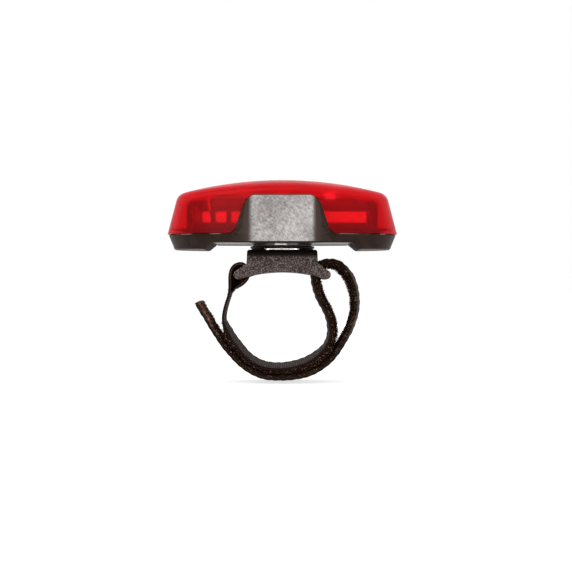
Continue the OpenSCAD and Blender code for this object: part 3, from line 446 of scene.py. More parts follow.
def woven(name, dark, light, edge, rib_share):
    """Woven tape on its own UV map: cross ribs, lengthwise yarns and a dark selvedge, painted paler at the fold as a
    painted highlight.
    """
    tape = Finish(name, IOR=1.45, Specular_IOR_Level=0.06)
    place = tape.node("ShaderNodeUVMap", uv_map="strap_uv").outputs["UV"]
    across, along = (tape.node("ShaderNodeSeparateXYZ", {"Vector": place}).outputs[k] for k in "XY")
    ribs = tape.math("SINE", tape.math("MULTIPLY", along, 2 * math.pi * UV_UNIT / RIB_PITCH))
    yarns = tape.math("SINE", tape.math("MULTIPLY", across, 2 * math.pi * UV_UNIT / YARN_PITCH))
    fuzz = tape.node("ShaderNodeTexNoise", {"Vector": place, "Scale": 45.0, "Detail": 4.0}).outputs["Fac"]
    weave = tape.blend((ribs, rib_share), (yarns, 0.5 - rib_share))
    tone = tape.math("ADD", tape.math("MULTIPLY", weave, 0.55), fuzz)
    body = tape.mix(tape.span(tone, 0.1, 0.95), dark, light)
    side = tape.span(tape.math("ABSOLUTE", across), *(place / UV_UNIT for place in SELVEDGE))
    # Painted highlight: the selvedge painted paler at the fold.
    fold_highlight = tape.mix(tape.past(tape.axis("X"), FOLD_HIGHLIGHT_X), edge, grey(0.07, 0.25))
    return tape.coat(tape.mix(side, body, fold_highlight), (fuzz, 0.7, 0.95), (tape.math("ADD", weave, fuzz), 0.06))


def strap_fibre(name, dark, light, end_share=0.0, pale_from=0.45):
    """Nylon fibres of the pile and the hooks: dark, with pale strands, more of them towards the free end."""
    fibre = Finish(name, IOR=1.45, Specular_IOR_Level=0.08, Specular_Tint=grey(0.6, 0.6))
    strand = fibre.noise(2.2, 2.0)
    clump = fibre.noise(0.35, 3.0)
    free_end = fibre.past(fibre.math("MULTIPLY", fibre.axis("X"), -1.0), FREE_END_X)
    tone = fibre.blend((strand, 0.7), (clump, 0.3), (free_end, end_share))
    body = fibre.mix(fibre.span(tone, pale_from, pale_from + 0.27), dark, light)
    specks = fibre.span(fibre.noise(3.8, 1.0), 0.66, 0.72)
    return fibre.coat(fibre.mix(specks, body, (0.45, 0.31, 0.22, 1)), (strand, 0.5, 0.8), (strand, 0.04))


# Dark and light shade, warmth, roughness, grain per millimetre, grain depth and shine of each plain moulding
MOULDINGS = {
    "underside_polish": (0.012, 0.022, 0.4, 0.36, 3.0, 0.003, 0.2),
    "foot_slope": (0.012, 0.03, 0.5, 0.75, 3.4, 0.02, 0.04),
    "carrier_plastic": (0.010, 0.02, 0.0, 0.42, 3.0, 0.015, 0.25),
    "swivel_plastic": (0.004, 0.010, 0.4, 0.4, 3.0, 0.012, 0.12),
    "seal_rubber": (0.006, 0.014, 0.0, 0.7, 6.0, 0.01, 0.25),
    "button_rubber": (0.008, 0.016, 0.0, 0.62, 5.0, 0.012, 0.25),
    "plunger": (0.6, 0.72, 0.0, 0.4, 3.0, 0.008, 0.25),
    "switch_case": (0.02, 0.035, 0.0, 0.4, 3.0, 0.01, 0.25),
    "chip": (0.01, 0.018, 0.0, 0.5, 5.0, 0.012, 0.25),
}
FINISHES = {name: moulded(name, *look).material for name, look in MOULDINGS.items()}
FINISHES.update({
    "lens_red": lens_red(),
    "lens_edge": lens_edge(),
    "housing_plastic": housing_plastic(),
    "tab_face": tab_face_grey(),
    "boss_polish": boss_polish(),
    "bracket_plastic": bracket_plastic(),
    "washer_steel": washer_steel(),
    "steel": steel("steel", 0.46, 0.72),
    "contact_strip": steel("contact_strip", 0.12, 0.24),
    "cell_jacket": cell_jacket(),
    "lamp_board": circuit_board("lamp_board", grey(0.62), grey(0.72), (0.62, 0.55, 0.42, 1)),
    "switch_board": circuit_board("switch_board", (0.01, 0.07, 0.025, 1), (0.016, 0.1, 0.04, 1), (0.03, 0.16, 0.06, 1)),
    "lamp": lamp_package(),
    "lead_red": lead_sleeve("lead_red", (0.72, 0.30, 0.28, 1), (0.85, 0.42, 0.38, 1), LEAD_TUBE_Z),
    "lead_black": lead_sleeve("lead_black", grey(0.012), grey(0.024)),
    "strap_tape": woven("strap_tape", grey(0.010, 0.6), grey(0.115, 0.25), grey(0.006, 0.9), 0.38),
    "strap_pile": strap_fibre("strap_pile", (0.008, 0.0026, 0.0012, 1), (0.06, 0.024, 0.012, 1), pale_from=0.48),
    "strap_hooks": strap_fibre("strap_hooks", (0.012, 0.0042, 0.002, 1), (0.22, 0.11, 0.07, 1), 0.22, 0.54),
    # Painted light: the loop's shaded inside painted a lighter brown, as if lit.
    "loop_inside": strap_fibre("loop_inside", (0.09, 0.04, 0.025, 1), (0.3, 0.15, 0.1, 1)),
    "strap_thread": strap_fibre("strap_thread", grey(0.008, 0.3), grey(0.025, 0.2)),
})


# ---------------------------------------------------------------- making meshes

SLIVER, DOUBLE = 0.001, 0.002
SOFT_ANGLE, FLAT_ANGLE, BEVEL_ANGLE = 32.0, 0.5, 30


@contextmanager
def edited(mesh):
    """A mesh's points and faces, to change in place."""
    shape = bmesh.new()
    shape.from_mesh(mesh)
    yield shape
    shape.to_mesh(mesh)
    shape.free()


def in_scene(name, data):
    """An object for a mesh, lamp or camera, linked to the scene."""
    made = bpy.data.objects.new(name, data)
    scene.collection.objects.link(made)
    return made


def open_mesh(name, points, edges, faces):
    """A mesh object from points in millimetres, with its faces as given."""
    mesh = bpy.data.meshes.new(name)
    mesh.from_pydata([tuple(c * MM for c in p) for p in points], edges, faces)
    return in_scene(name, mesh)


def new_piece(name, points, faces, uv=None):
    """A mesh object from points in millimetres, with its faces pointing outwards."""
    piece = open_mesh(name, points, [], faces)
    if uv is not None:
        layer = piece.data.uv_layers.new(name="strap_uv")
        for loop in piece.data.loops:
            layer.data[loop.index].uv = uv[loop.vertex_index]
    with edited(piece.data) as shape:
        bmesh.ops.recalc_face_normals(shape, faces=shape.faces)
    return piece


def plain_mesh(piece):
    """Turns a piece's modifiers into its mesh."""
    bpy.context.view_layer.update()
    shown = piece.evaluated_get(bpy.context.evaluated_depsgraph_get())
    mesh = bpy.data.meshes.new_from_object(shown)
    piece.modifiers.clear()
    piece.data = mesh
    return piece


def combine(piece, others, operation):
    """Joins other pieces to a piece, or cuts them out of it, one after another."""
    for other in others:
        step = piece.modifiers.new(operation, "BOOLEAN")
        step.operation, step.solver, step.object = operation, "EXACT", other
        plain_mesh(piece)
        bpy.data.objects.remove(other)
    return piece


def without_slivers(piece):
    """Merges the doubled points that cuts leave, with the slivers between them."""
    with edited(piece.data) as shape:
        bmesh.ops.remove_doubles(shape, verts=shape.verts, dist=SLIVER * MM)
        bmesh.ops.dissolve_degenerate(shape, dist=SLIVER * MM, edges=shape.edges)
    return piece


def smooth(piece, angle=SOFT_ANGLE):
    """Shades a piece smooth, apart from edges sharper than the angle."""
    piece.data.shade_smooth()
    piece.data.set_sharp_from_angle(angle=math.radians(angle))
    return piece


def skin_faces(rings, count):
    """Quads between closed rings of equal count."""
    return [
        (k * count + i, k * count + (i + 1) % count, (k + 1) * count + (i + 1) % count, (k + 1) * count + i)
        for k in range(rings - 1) for i in range(count)
    ]


def loft(name, rings, uv=None):
    """A closed skin over rings of equal count, with a flat cap at each end."""
    count = len(rings[0])
    caps = [tuple(range(count)), tuple((len(rings) - 1) * count + i for i in range(count))]
    return new_piece(name, [p for ring in rings for p in ring], skin_faces(len(rings), count) + caps, uv)


def rounding(*degrees):
    """Steps of a rounded edge at the given angles: 1 less the sine, and 1 less the cosine."""
    return [(1 - math.sin(a), 1 - math.cos(a)) for a in map(math.radians, degrees)]


def prism(name, outline, y0, y1):
    """An outline in the X-Z plane, drawn out along Y."""
    return loft(name, [[(x, y, z) for x, z in outline] for y in (y0, y1)])


def turned(name, profile, centre=(0, 0, 0), steps=72):
    """A profile of (radius, height) turned about a vertical axis."""
    cx, cy, cz = centre
    turns = [2 * math.pi * i / steps for i in range(steps)]
    return loft(name, [[(cx + r * math.cos(a), cy + r * math.sin(a), cz + z) for a in turns] for r, z in profile])


def drum(name, d, z0, z1, x=0.0, y=0.0, steps=48):
    """A plain upright cylinder."""
    return turned(name, [(d / 2, z0), (d / 2, z1)], (x, y, 0), steps)


def to_button(piece):
    """Moves a piece made about Z into the button's frame, whose Z points out of the far tab."""
    lean = TAB_LEAN - math.pi / 2
    c, s = math.cos(lean), math.sin(lean)
    for vertex in piece.data.vertices:
        x, y, z = vertex.co
        vertex.co = (x, c * y - s * z + face_y(BUTTON_Z) * MM, s * y + c * z + BUTTON_Z * MM)
    return piece


def dress(piece, body, slot, *finishes):
    """Gives a piece its finishes and its body; the slot is not used."""
    piece.data.materials.clear()
    for finish in finishes:
        piece.data.materials.append(FINISHES[finish])
    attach(piece, body)


def paint(piece, finishes, finish_of):
    """Gives each face the finish that finish_of names for it."""
    for face in piece.data.polygons:
        face.material_index = finishes.index(finish_of(face, *(c / MM for c in face.center)))


# ---------------------------------------------------------------- housing and lens

def oval_point(angle, inset):
    """A point of the oval outline, drawn in by an inset."""
    c, s, power = math.cos(angle), math.sin(angle), 2 / OVAL_POWER
    return (
        math.copysign(abs(c) ** power, c) * (BODY_W / 2 - inset),
        math.copysign(abs(s) ** power, s) * (BODY_D / 2 - inset),
    )


def even_angles():
    """Angles that space the outline's points evenly along it."""
    fine = np.linspace(0, 2 * math.pi, 8001)
    path = np.array([oval_point(a, 0) for a in fine])
    gone = np.concatenate([[0], np.cumsum(np.linalg.norm(np.diff(path, axis=0), axis=1))])
    return np.interp((np.arange(OUTLINE_STEPS) + 0.5) / OUTLINE_STEPS * gone[-1], gone, fine)


ANGLES = even_angles()


def oval_y(x, inset):
    """Half depth of the oval outline at a place along it."""
    share = 1 - (abs(x) / (BODY_W / 2 - inset)) ** OVAL_POWER
    return (BODY_D / 2 - inset) * max(0, share) ** (1 / OVAL_POWER)


def flat_ring(inset, z):
    """The whole outline at one height."""
    return [(*oval_point(a, inset), z) for a in ANGLES]


def crown_z(x, y, drop):
    """Height of the crown, lowered by drop for its inside."""
    return CREST_Z - drop - (CROWN_X_R - math.sqrt(CROWN_X_R ** 2 - x * x)) - y * y / (2 * CROWN_Y_R)


def wall_inset(z, start):
    """Inset of the lens's leaning wall, which begins with start at the seam."""
    return start + max(0, z - SEAM_Z) * LENS_DRAFT


def base_inset(z):
    """Inset of the base's wall, which slopes in below the rim."""
    return BASE_STEP + max(0, SEAM_Z - RIM_LAND - z) * BASE_SLOPE


def skin_inset(z):
    """Inset of the skin that the tabs grow from: the base's below the seam, easing to the lens's above it."""
    if z < SEAM_Z:
        return base_inset(z)
    return wall_inset(z, LENS_STEP) + BASE_STEP * max(0, 1 - (z - SEAM_Z) / TAB_FILLET)


def corner_inset(angle, start, drop):
    """Inset at which the leaning wall would meet the crown."""
    inset = start
    for _ in range(6):
        inset = wall_inset(crown_z(*oval_point(angle, inset), drop), start)
    return inset


def shoulder_point(angle, start, drop, t):
    """A point on the round from wall to crown, t from 0 to 1."""
    inset = corner_inset(angle, start, drop)
    top = crown_z(*oval_point(angle, inset), drop)
    far = inset + SHOULDER
    insets = (wall_inset(top - SHOULDER, start), inset, far)
    heights = (top - SHOULDER, top, crown_z(*oval_point(angle, far), drop))
    at, z = ((1 - t) ** 2 * a + 2 * t * (1 - t) * b + t * t * c for a, b, c in (insets, heights))
    return (*oval_point(angle, at), z)


def dome_rings(start, drop, low):
    """Rings of a dome from its wall at height low up to beside its crest."""
    rings = []
    for k in range(1, WALL_STEPS):
        ring = []
        for angle in ANGLES:
            top = shoulder_point(angle, start, drop, 0)[2]
            z = low + (top - low) * k / WALL_STEPS
            ring.append((*oval_point(angle, wall_inset(z, start)), z))
        rings.append(ring)
    for k in range(SHOULDER_STEPS + 1):
        rings.append([shoulder_point(a, start, drop, k / SHOULDER_STEPS) for a in ANGLES])
    edge = rings[-1]
    for k in range(1, CROWN_STEPS):
        w = 1 - k / CROWN_STEPS
        rings.append([(x * w, y * w, crown_z(x * w, y * w, drop)) for x, y, _ in edge])
    return rings


def lens_shell():
    """The lens with its tongue, as one closed skin from the crest outside to the crest inside."""
    inner_start, edge, foot = LENS_STEP + LENS_T, LENS_EDGE, SEAM_Z + SLIP_GAP
    tongue_inner, inner_low = TONGUE_IN + TONGUE_T, SEAM_Z + 2 * TONGUE_RISE
    outer = [
        flat_ring(LENS_STEP + edge, foot), flat_ring(LENS_STEP + CORNER_SHARE * edge, foot + CORNER_SHARE * edge),
        flat_ring(wall_inset(foot + edge, LENS_STEP), foot + edge),
    ] + dome_rings(LENS_STEP, 0, foot + edge)
    inner = [
        flat_ring(TONGUE_IN, foot), flat_ring(TONGUE_IN, TONGUE_Z + edge), flat_ring(TONGUE_IN + edge, TONGUE_Z),
        flat_ring(tongue_inner - edge, TONGUE_Z), flat_ring(tongue_inner, TONGUE_Z + edge),
        flat_ring(tongue_inner, SEAM_Z + TONGUE_RISE), flat_ring(wall_inset(inner_low, inner_start), inner_low),
    ] + dome_rings(inner_start, LENS_T, inner_low)
    rings = outer[::-1] + inner
    points = [p for ring in rings for p in ring] + [(0, 0, CREST_Z), (0, 0, CREST_Z - LENS_T)]
    n, crest = OUTLINE_STEPS, len(points) - 2
    faces = skin_faces(len(rings), n)
    for first, tip in ((0, crest), (crest - n, crest + 1)):
        faces += [(first + i, first + (i + 1) % n, tip) for i in range(n)]
    return new_piece("lens_moulding", points, faces)


def tab_half(z):
    """Half width of a tab's outline, with a fillet where it runs into the seam."""
    rise = z - SEAM_Z
    flare = TAB_FILLET - math.sqrt(max(0, TAB_FILLET ** 2 - (TAB_FILLET - min(max(rise, 0), TAB_FILLET)) ** 2))
    share = max(0, rise / (TAB_Z - SEAM_Z))
    return TAB_BASE - TAB_TAPER * share - (TAB_BASE - TAB_NECK - TAB_TAPER) * share ** TAB_TURN + flare


def face_y(z):
    """Distance of a tab's leaning face from the middle."""
    return BODY_D / 2 + TAB_PROUD - (z - UNDER_Z) * math.tan(TAB_LEAN)


def tab_heights():
    """Heights of a tab's sections: below the seam, in the fillet and up the flanks."""
    low = [UNDER_Z, *TAB_LOW_Z, SEAM_Z - RIM_LAND]
    fillet = [SEAM_Z + TAB_FILLET * k / FILLET_STEPS for k in range(FILLET_STEPS)]
    rise = TAB_Z - SEAM_Z - TAB_FILLET
    flank = [SEAM_Z + TAB_FILLET + rise * k / FLANK_STEPS for k in range(FLANK_STEPS + 1)]
    return low, fillet, flank


def tab_notch(gap):
    """Outline of the lens's cut-out round a tab."""
    _, fillet, flank = tab_heights()
    right = [(tab_half(SEAM_Z) + gap, FLOOR_Z - 1)] + [(tab_half(z) + gap, z + gap) for z in fillet + flank]
    return right + [(-x, z) for x, z in reversed(right)]


def tab_section(z, draw_in):
    """A tab's section: a flat face with rounded edges, hollow flanks and the wall's curve behind."""
    half = tab_half(z)
    face = min(TAB_FACE, half - TAB_RIM)
    skin = skin_inset(z) + (TAB_ROOT if z < SEAM_Z else 0)
    back = RIM_T if z < SEAM_Z else wall_inset(z, LENS_STEP + LENS_T)
    wall, front = oval_y(half, skin), face_y(z) - draw_in
    edge = front - TAB_EDGE
    right = []
    for k in range(HOLLOW_STEPS + 1):
        t = k / HOLLOW_STEPS
        right.append((half + (face + TAB_EDGE - half) * t, wall + (edge - wall) * t ** TAB_HOLLOW))
    right += [(face + TAB_EDGE * s, edge + TAB_EDGE * c) for s, c in rounding(30, 60, 90)]
    right += [(face * q, front) for q in (0.5, 0.0)]
    outline = right + [(-x, y) for x, y in reversed(right[:-1])]
    shrink = (half - draw_in) / half
    return [(x * shrink, -y, z) for x, y in outline] + [(x * shrink, -oval_y(x, back), z) for x, _ in reversed(outline)]


def tab(name):
    """A tab of the base, from its root up to its rounded crest."""
    low, fillet, flank = tab_heights()
    rings = [tab_section(z, 0) for z in low + fillet + flank[:-1]]
    rings += [tab_section(TAB_Z - TAB_CREST * s, TAB_CREST * c) for s, c in rounding(0, 30, 60, 90)]
    return loft(name, rings)


def mirrored(piece):
    """Turns a near piece into its far twin."""
    for vertex in piece.data.vertices:
        vertex.co.y = -vertex.co.y
    piece.data.flip_normals()
    return piece


def housing_tray():
    """The housing's tray: rounded feet, sloped wall, softened rim and the floor inside."""
    low, rise = base_inset(FOOT_Z + FOOT_ROUND), SEAM_Z - RIM_LAND - FOOT_Z - FOOT_ROUND
    rings = [flat_ring(low + FOOT_ROUND * s, FOOT_Z + FOOT_ROUND * c) for s, c in rounding(*range(0, 91, 15))]
    rings += [flat_ring(low + (BASE_STEP - low) * k / BASE_STEPS, FOOT_Z + FOOT_ROUND + rise * k / BASE_STEPS)
              for k in range(1, BASE_STEPS + 1)]
    rings += [flat_ring(BASE_STEP + inset, SEAM_Z - drop) for inset, drop in RIM_ROUND]
    rings += [flat_ring(RIM_T, SEAM_Z), flat_ring(RIM_T, FLOOR_Z)]
    return loft("housing_moulding", rings)


def recess_lip(side):
    """A low lip along the recess's front or back edge."""
    skin, half = base_inset(UNDER_Z), RECESS_W / 2 - LIP_END
    rings = []
    for x in np.linspace(-half, half, LIP_STEPS):
        wall = oval_y(x, skin)
        rings.append([(x, side * (wall + out), UNDER_Z + up) for out, up in LIP_SECTION])
    return loft("recess_lip", rings)


def recess_outline():
    """The recess between the feet: sloped ends with rounded corners."""
    half, foot = RECESS_W / 2, UNDER_Z - FOOT_Z
    right = [(half + x, UNDER_Z + z) for x, z in RECESS_TOP]
    right += [(half + foot + x, FOOT_Z + z) for x, z in RECESS_FOOT]
    return right + [(-x, z) for x, z in reversed(right)]


def housing_finish(face, x, y, z):
    """Tab faces, the recess's sloped ends, its flat underside, the boss, and plain plastic elsewhere."""
    normal = face.normal
    outward = normal.y * math.copysign(1, y)
    near_tab = abs(x) < TAB_BASE + TAB_FILLET and z > UNDER_Z
    if near_tab and outward > FACING and abs(y) > oval_y(x, skin_inset(z)) + OFF_WALL:
        return "tab_face"
    if normal.z < -SLOPED and abs(normal.x) > SLOPED and abs(normal.y) < FACING and FOOT_Z < z < UNDER_Z:
        return "foot_slope"
    if normal.z < -LEVEL and abs(z - UNDER_Z) < ON_PLANE:
        return "underside_polish"
    if math.hypot(x, y) < BOSS_D / 2 + 0.01 and z < UNDER_Z:
        return "boss_polish"
    return "housing_plastic"


def housing():
    """The base with its lips, tabs, boss, posts and holes."""
    tray = combine(housing_tray(), [prism("recess", recess_outline(), -CUT_REACH, CUT_REACH)], "DIFFERENCE")
    far_tab = mirrored(tab("far_tab"))
    boss_foot = [(BOSS_D / 2 - inset, BOSS_Z + rise) for inset, rise in BOSS_ROUND]
    boss = turned("boss", boss_foot + [(BOSS_D / 2, UNDER_Z + BOSS_ROOT)], steps=96)
    posts = [to_button(drum("post", SWITCH_POST_D, -SWITCH_DEPTH, -SWITCH_POST_ROOT, side * SWITCH_SCREW_X, 0, 32))
             for side in SIDES]
    lips = [recess_lip(side) for side in SIDES]
    combine(tray, [*lips, tab("near_tab"), far_tab, boss, *posts], "UNION")
    cuts = [
        drum("pivot_bore", PIVOT_BORE, 0, BORE_TOP),
        drum("nut_seat", NUT_ACROSS / math.cos(math.radians(30)) + 2 * SLIP_GAP, NUT_Z, BORE_TOP, steps=6),
        to_button(drum("button_pocket", BUTTON_POCKET, -SWITCH_DEPTH, -BUTTON_WALL)),
        to_button(drum("button_hole", BUTTON_HOLE, -BUTTON_WALL - SLIP_GAP, BUTTON_REACH)),
    ]
    post_low, post_high = (z - SWITCH_DEPTH for z in POST_BORE)
    for side in SIDES:
        cuts.append(drum("peg_hole", PEG_HOLE, 0, PEG_TOP, side * PEG_X, 0, 24))
        cuts.append(drum("lug_hole", SCREW_BORE, LUG_LOW, BORE_TOP, side * LUG_SCREW_X, 0, 24))
        cuts.append(to_button(drum("post_bore", SCREW_BORE, post_low, post_high, side * SWITCH_SCREW_X, 0, 24)))
    combine(tray, cuts, "DIFFERENCE")
    smooth(without_slivers(tray))
    dress(tray, "head", "housing_plastic", *HOUSING_FINISHES)
    paint(tray, HOUSING_FINISHES, housing_finish)
    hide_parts("base_housing")


def lens_finish(face, x, y, z):
    """The cut edges round the tabs, and clear red elsewhere."""
    beside = abs(abs(x) - tab_half(z - TAB_GAP) - TAB_GAP) < ON_NOTCH and z < TAB_Z + TAB_GAP
    above = abs(z - TAB_Z - TAB_GAP) < ON_PLANE and abs(x) < TAB_NECK + TAB_GAP
    cut = abs(y) > NOTCH_Y - 0.1 and abs(face.normal.y) < SLOPED and (beside or above)
    return "lens_edge" if cut else "lens_red"


def lens():
    """The lens cover, cut out round both tabs."""
    cover = lens_shell()
    combine(cover, [prism("near_notch", tab_notch(TAB_GAP), -CUT_REACH, -NOTCH_Y),
                    prism("far_notch", tab_notch(TAB_GAP), NOTCH_Y, CUT_REACH)], "DIFFERENCE")
    smooth(cover, 40)
    dress(cover, "lens", "lens_red", *LENS_FINISHES)
    paint(cover, LENS_FINISHES, lens_finish)
    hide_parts("lens_cover")


# ---------------------------------------------------------------- pieces kept from the solids

# Nodes, slot, finish, bevel and, for round leads, the angle up to which they are shaded smooth
FITTINGS = (
    (("cell_front", "cell_rear"), "cell_jacket", "cell_jacket", 0.0),
    (("carrier_screws", "board_screws", "switch_screws", "pivot_screw", "pivot_nut", "spring_washer"),
     "steel", "steel", 0.1),
    (("contact_negative", "contact_positive", "contact_bridge"), "steel", "contact_strip", 0.06),
    (("led_main", "led_side_left", "led_side_right"), "lamp", "lamp", 0.08),
    (("driver_chip", "capacitor"), "chip", "chip", 0.1),
    (("switch_leads",), "lead_black", "lead_black", 0.0, 70),
    (("battery_carrier",), "carrier_plastic", "carrier_plastic", 0.12),
    (("led_board",), "lamp_board", "lamp_board", 0.06),
    (("switch_board",), "switch_board", "switch_board", 0.06),
    (("switch_body",), "chip", "switch_case", 0.12),
    (("switch_plunger",), "plunger", "plunger", 0.1),
    (("button_cap",), "button_rubber", "button_rubber", 0.12),
    (("lens_seal",), "seal_rubber", "seal_rubber", 0.08),
    (("swivel_plate",), "bracket_plastic", "swivel_plastic", 0.12),
    (("strap_bracket",), "bracket_plastic", "bracket_plastic", 0.28),
)


def refined(node, slot, finish, bevel, angle=SOFT_ANGLE):
    """A merged copy of a solid with softened edges, standing for its node."""
    source = frame["nodes"][node]
    mesh = source.data.copy()
    if "custom_normal" in mesh.attributes:
        mesh.attributes.remove(mesh.attributes["custom_normal"])
    with edited(mesh) as shape:
        bmesh.ops.remove_doubles(shape, verts=shape.verts, dist=DOUBLE * MM)
        bmesh.ops.dissolve_limit(
            shape, angle_limit=math.radians(FLAT_ANGLE), verts=shape.verts, edges=shape.edges)
    piece = in_scene(node + "_piece", mesh)
    if bevel:
        edge = piece.modifiers.new("softened edges", "BEVEL")
        edge.width, edge.segments, edge.limit_method = bevel * MM, 2, "ANGLE"
        edge.angle_limit, edge.use_clamp_overlap = math.radians(BEVEL_ANGLE), True
        plain_mesh(piece)
    smooth(piece, angle)
    dress(piece, source["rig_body"], slot, finish)
    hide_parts(node)


def fittings():
    """The pieces that keep their solids' shapes, and the lamp on the board's edge."""
    for nodes, *look in FITTINGS:
        for node in nodes:
            refined(node, *look)
    edge_lamp()


def edge_lamp():
    """A side-view lamp on the lamp board's front edge, seen through the lens as a bright spot from its painted glow."""
    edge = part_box("led_board")[0][1] / MM
    front, back, soft = edge - EDGE_LAMP_DEEP, edge + EDGE_LAMP_SINK, EDGE_LAMP_SOFT
    middle = CORNER_SHARE * soft
    rings = []
    for y, draw_in in ((back, 0), (front + soft, 0), (front + middle, middle), (front, soft)):
        w, low, high = EDGE_LAMP_HALF - draw_in, EDGE_LAMP_Z[0] + draw_in, EDGE_LAMP_Z[1] - draw_in
        corners = ((w - soft, low), (w, low + soft), (w, high - soft), (w - soft, high))
        outline = list(corners) + [(-x, z) for x, z in reversed(corners)]
        rings.append([(EDGE_LAMP_X + x, y, z) for x, z in outline])
    lamp = smooth(loft("edge_lamp", rings))
    dress(lamp, "head", "lamp", "lamp")


# ---------------------------------------------------------------- pieces that Geometry Nodes make

class NodeTree(Nodes):
    """A Geometry Nodes tree with named inputs, whose result becomes a plain mesh."""

    def __init__(self, name, **inputs):
        super().__init__(bpy.data.node_groups.new(name, "GeometryNodeTree"))
        inputs["Material"] = ("Material", None)
        face = self.tree.interface
        face.new_socket("Geometry", in_out="INPUT", socket_type="NodeSocketGeometry")
        self.sockets = {}
        for label, (kind, value) in inputs.items():
            socket = face.new_socket(label.replace("_", " "), in_out="INPUT", socket_type="NodeSocket" + kind)
            self.sockets[label] = (socket.identifier, value)
        face.new_socket("Geometry", in_out="OUTPUT", socket_type="NodeSocketGeometry")
        self.source = self.tree.nodes.new("NodeGroupInput")
        self.result = self.tree.nodes.new("NodeGroupOutput")

    def given(self, label):
        return self.source.outputs[label.replace("_", " ")]

    def vector(self, x=0.0, y=0.0, z=0.0):
        return self.node("ShaderNodeCombineXYZ", {"X": x, "Y": y, "Z": z}).outputs[0]

    def scaled(self, vector, factor):
        return self.node("ShaderNodeVectorMath", {0: vector, "Scale": factor}, operation="SCALE").outputs[0]

    def random(self, low, high, seed, kind="FLOAT_VECTOR"):
        """A vector or a number between low and high for each point."""
        first, result = {"FLOAT_VECTOR": (0, 0), "FLOAT": (2, 1)}[kind]
        made = self.node("FunctionNodeRandomValue", {first: low, first + 1: high, "Seed": seed}, data_type=kind)
        return made.outputs[result]

    def joined(self, *parts):
        both = self.node("GeometryNodeJoinGeometry")
        for part in parts:
            self.tree.links.new(part, both.inputs["Geometry"])
        return both.outputs[0]

    def end(self, geometry):
        """Realizes instances and gives the result its material."""
        real = self.node("GeometryNodeRealizeInstances", {"Geometry": geometry})
        soft = self.node("GeometryNodeSetShadeSmooth", {"Geometry": real.outputs["Geometry"]})
        painted = self.node("GeometryNodeSetMaterial", {
            "Geometry": soft.outputs[0], "Material": self.given("Material")})
        self.tree.links.new(painted.outputs["Geometry"], self.result.inputs["Geometry"])
        return self

    def grow(self, piece, material, **values):
        """Runs the tree on a piece, which becomes the mesh that it makes."""
        values["Material"] = FINISHES[material]
        step = piece.modifiers.new(self.tree.name, "NODES")
        step.node_group = self.tree
        for label, (identifier, value) in self.sockets.items():
            step[identifier] = values.get(label, value)
        return plain_mesh(piece)


def tube_tree():
    """A round wire along each line, bent smoothly through the line's points."""
    tubes = NodeTree("wire along a line", Thickness=("Float", LEAD_D * MM), Sides=("Int", 14))
    line = tubes.node("GeometryNodeMeshToCurve", {"Mesh": tubes.given("Geometry")})
    bent = tubes.node("GeometryNodeCurveSplineType", {"Curve": line.outputs[0]}, spline_type="CATMULL_ROM")
    fine = tubes.node("GeometryNodeSetSplineResolution", {"Geometry": bent.outputs[0], "Resolution": 5})
    ring = tubes.node("GeometryNodeCurvePrimitiveCircle", {
        "Resolution": tubes.given("Sides"), "Radius": tubes.math("MULTIPLY", tubes.given("Thickness"), 0.5)})
    wire = tubes.node("GeometryNodeCurveToMesh", {
        "Curve": fine.outputs[0], "Profile Curve": ring.outputs[0], "Fill Caps": True})
    return tubes.end(wire.outputs[0])


def webbing_tree():
    """Cross ribs and lumps on a strip that carries its length in its UV map."""
    webbing = NodeTree(
        "ribs and lumps on a strip", Rib_Pitch=("Float", RIB_PITCH * MM), Rib_Height=("Float", 0.0),
        Lump_Height=("Float", 0.0), Lumps_Per_Metre=("Float", 900.0),
    )
    uv = webbing.node("GeometryNodeInputNamedAttribute", {"Name": "strap_uv"}, data_type="FLOAT_VECTOR")
    place = webbing.node("ShaderNodeSeparateXYZ", {"Vector": uv.outputs[0]})
    along = webbing.math("MULTIPLY", place.outputs["Y"], UV_UNIT * MM)
    turns = webbing.math("MULTIPLY", webbing.math("DIVIDE", along, webbing.given("Rib_Pitch")), 2 * math.pi)
    wave = webbing.math("MULTIPLY", webbing.math("SUBTRACT", webbing.math("COSINE", turns), 1.0), 0.5)
    normal = webbing.node("GeometryNodeInputNormal").outputs[0]
    sideways = webbing.node("ShaderNodeSeparateXYZ", {"Vector": normal}).outputs["Y"]
    flat = webbing.math("SUBTRACT", 1.0, webbing.math("ABSOLUTE", sideways))
    ribs = webbing.math("MULTIPLY", webbing.math("MULTIPLY", wave, flat), webbing.given("Rib_Height"))
    noise = webbing.node("ShaderNodeTexNoise", {"Scale": webbing.given("Lumps_Per_Metre"), "Detail": 2.0})
    lump = webbing.math("MULTIPLY", webbing.math("SUBTRACT", noise.outputs[0], 0.62), webbing.given("Lump_Height"))
    moved = webbing.node("GeometryNodeSetPosition", {
        "Geometry": webbing.given("Geometry"), "Offset": webbing.scaled(normal, webbing.math("ADD", ribs, lump))})
    return webbing.end(moved.outputs[0])


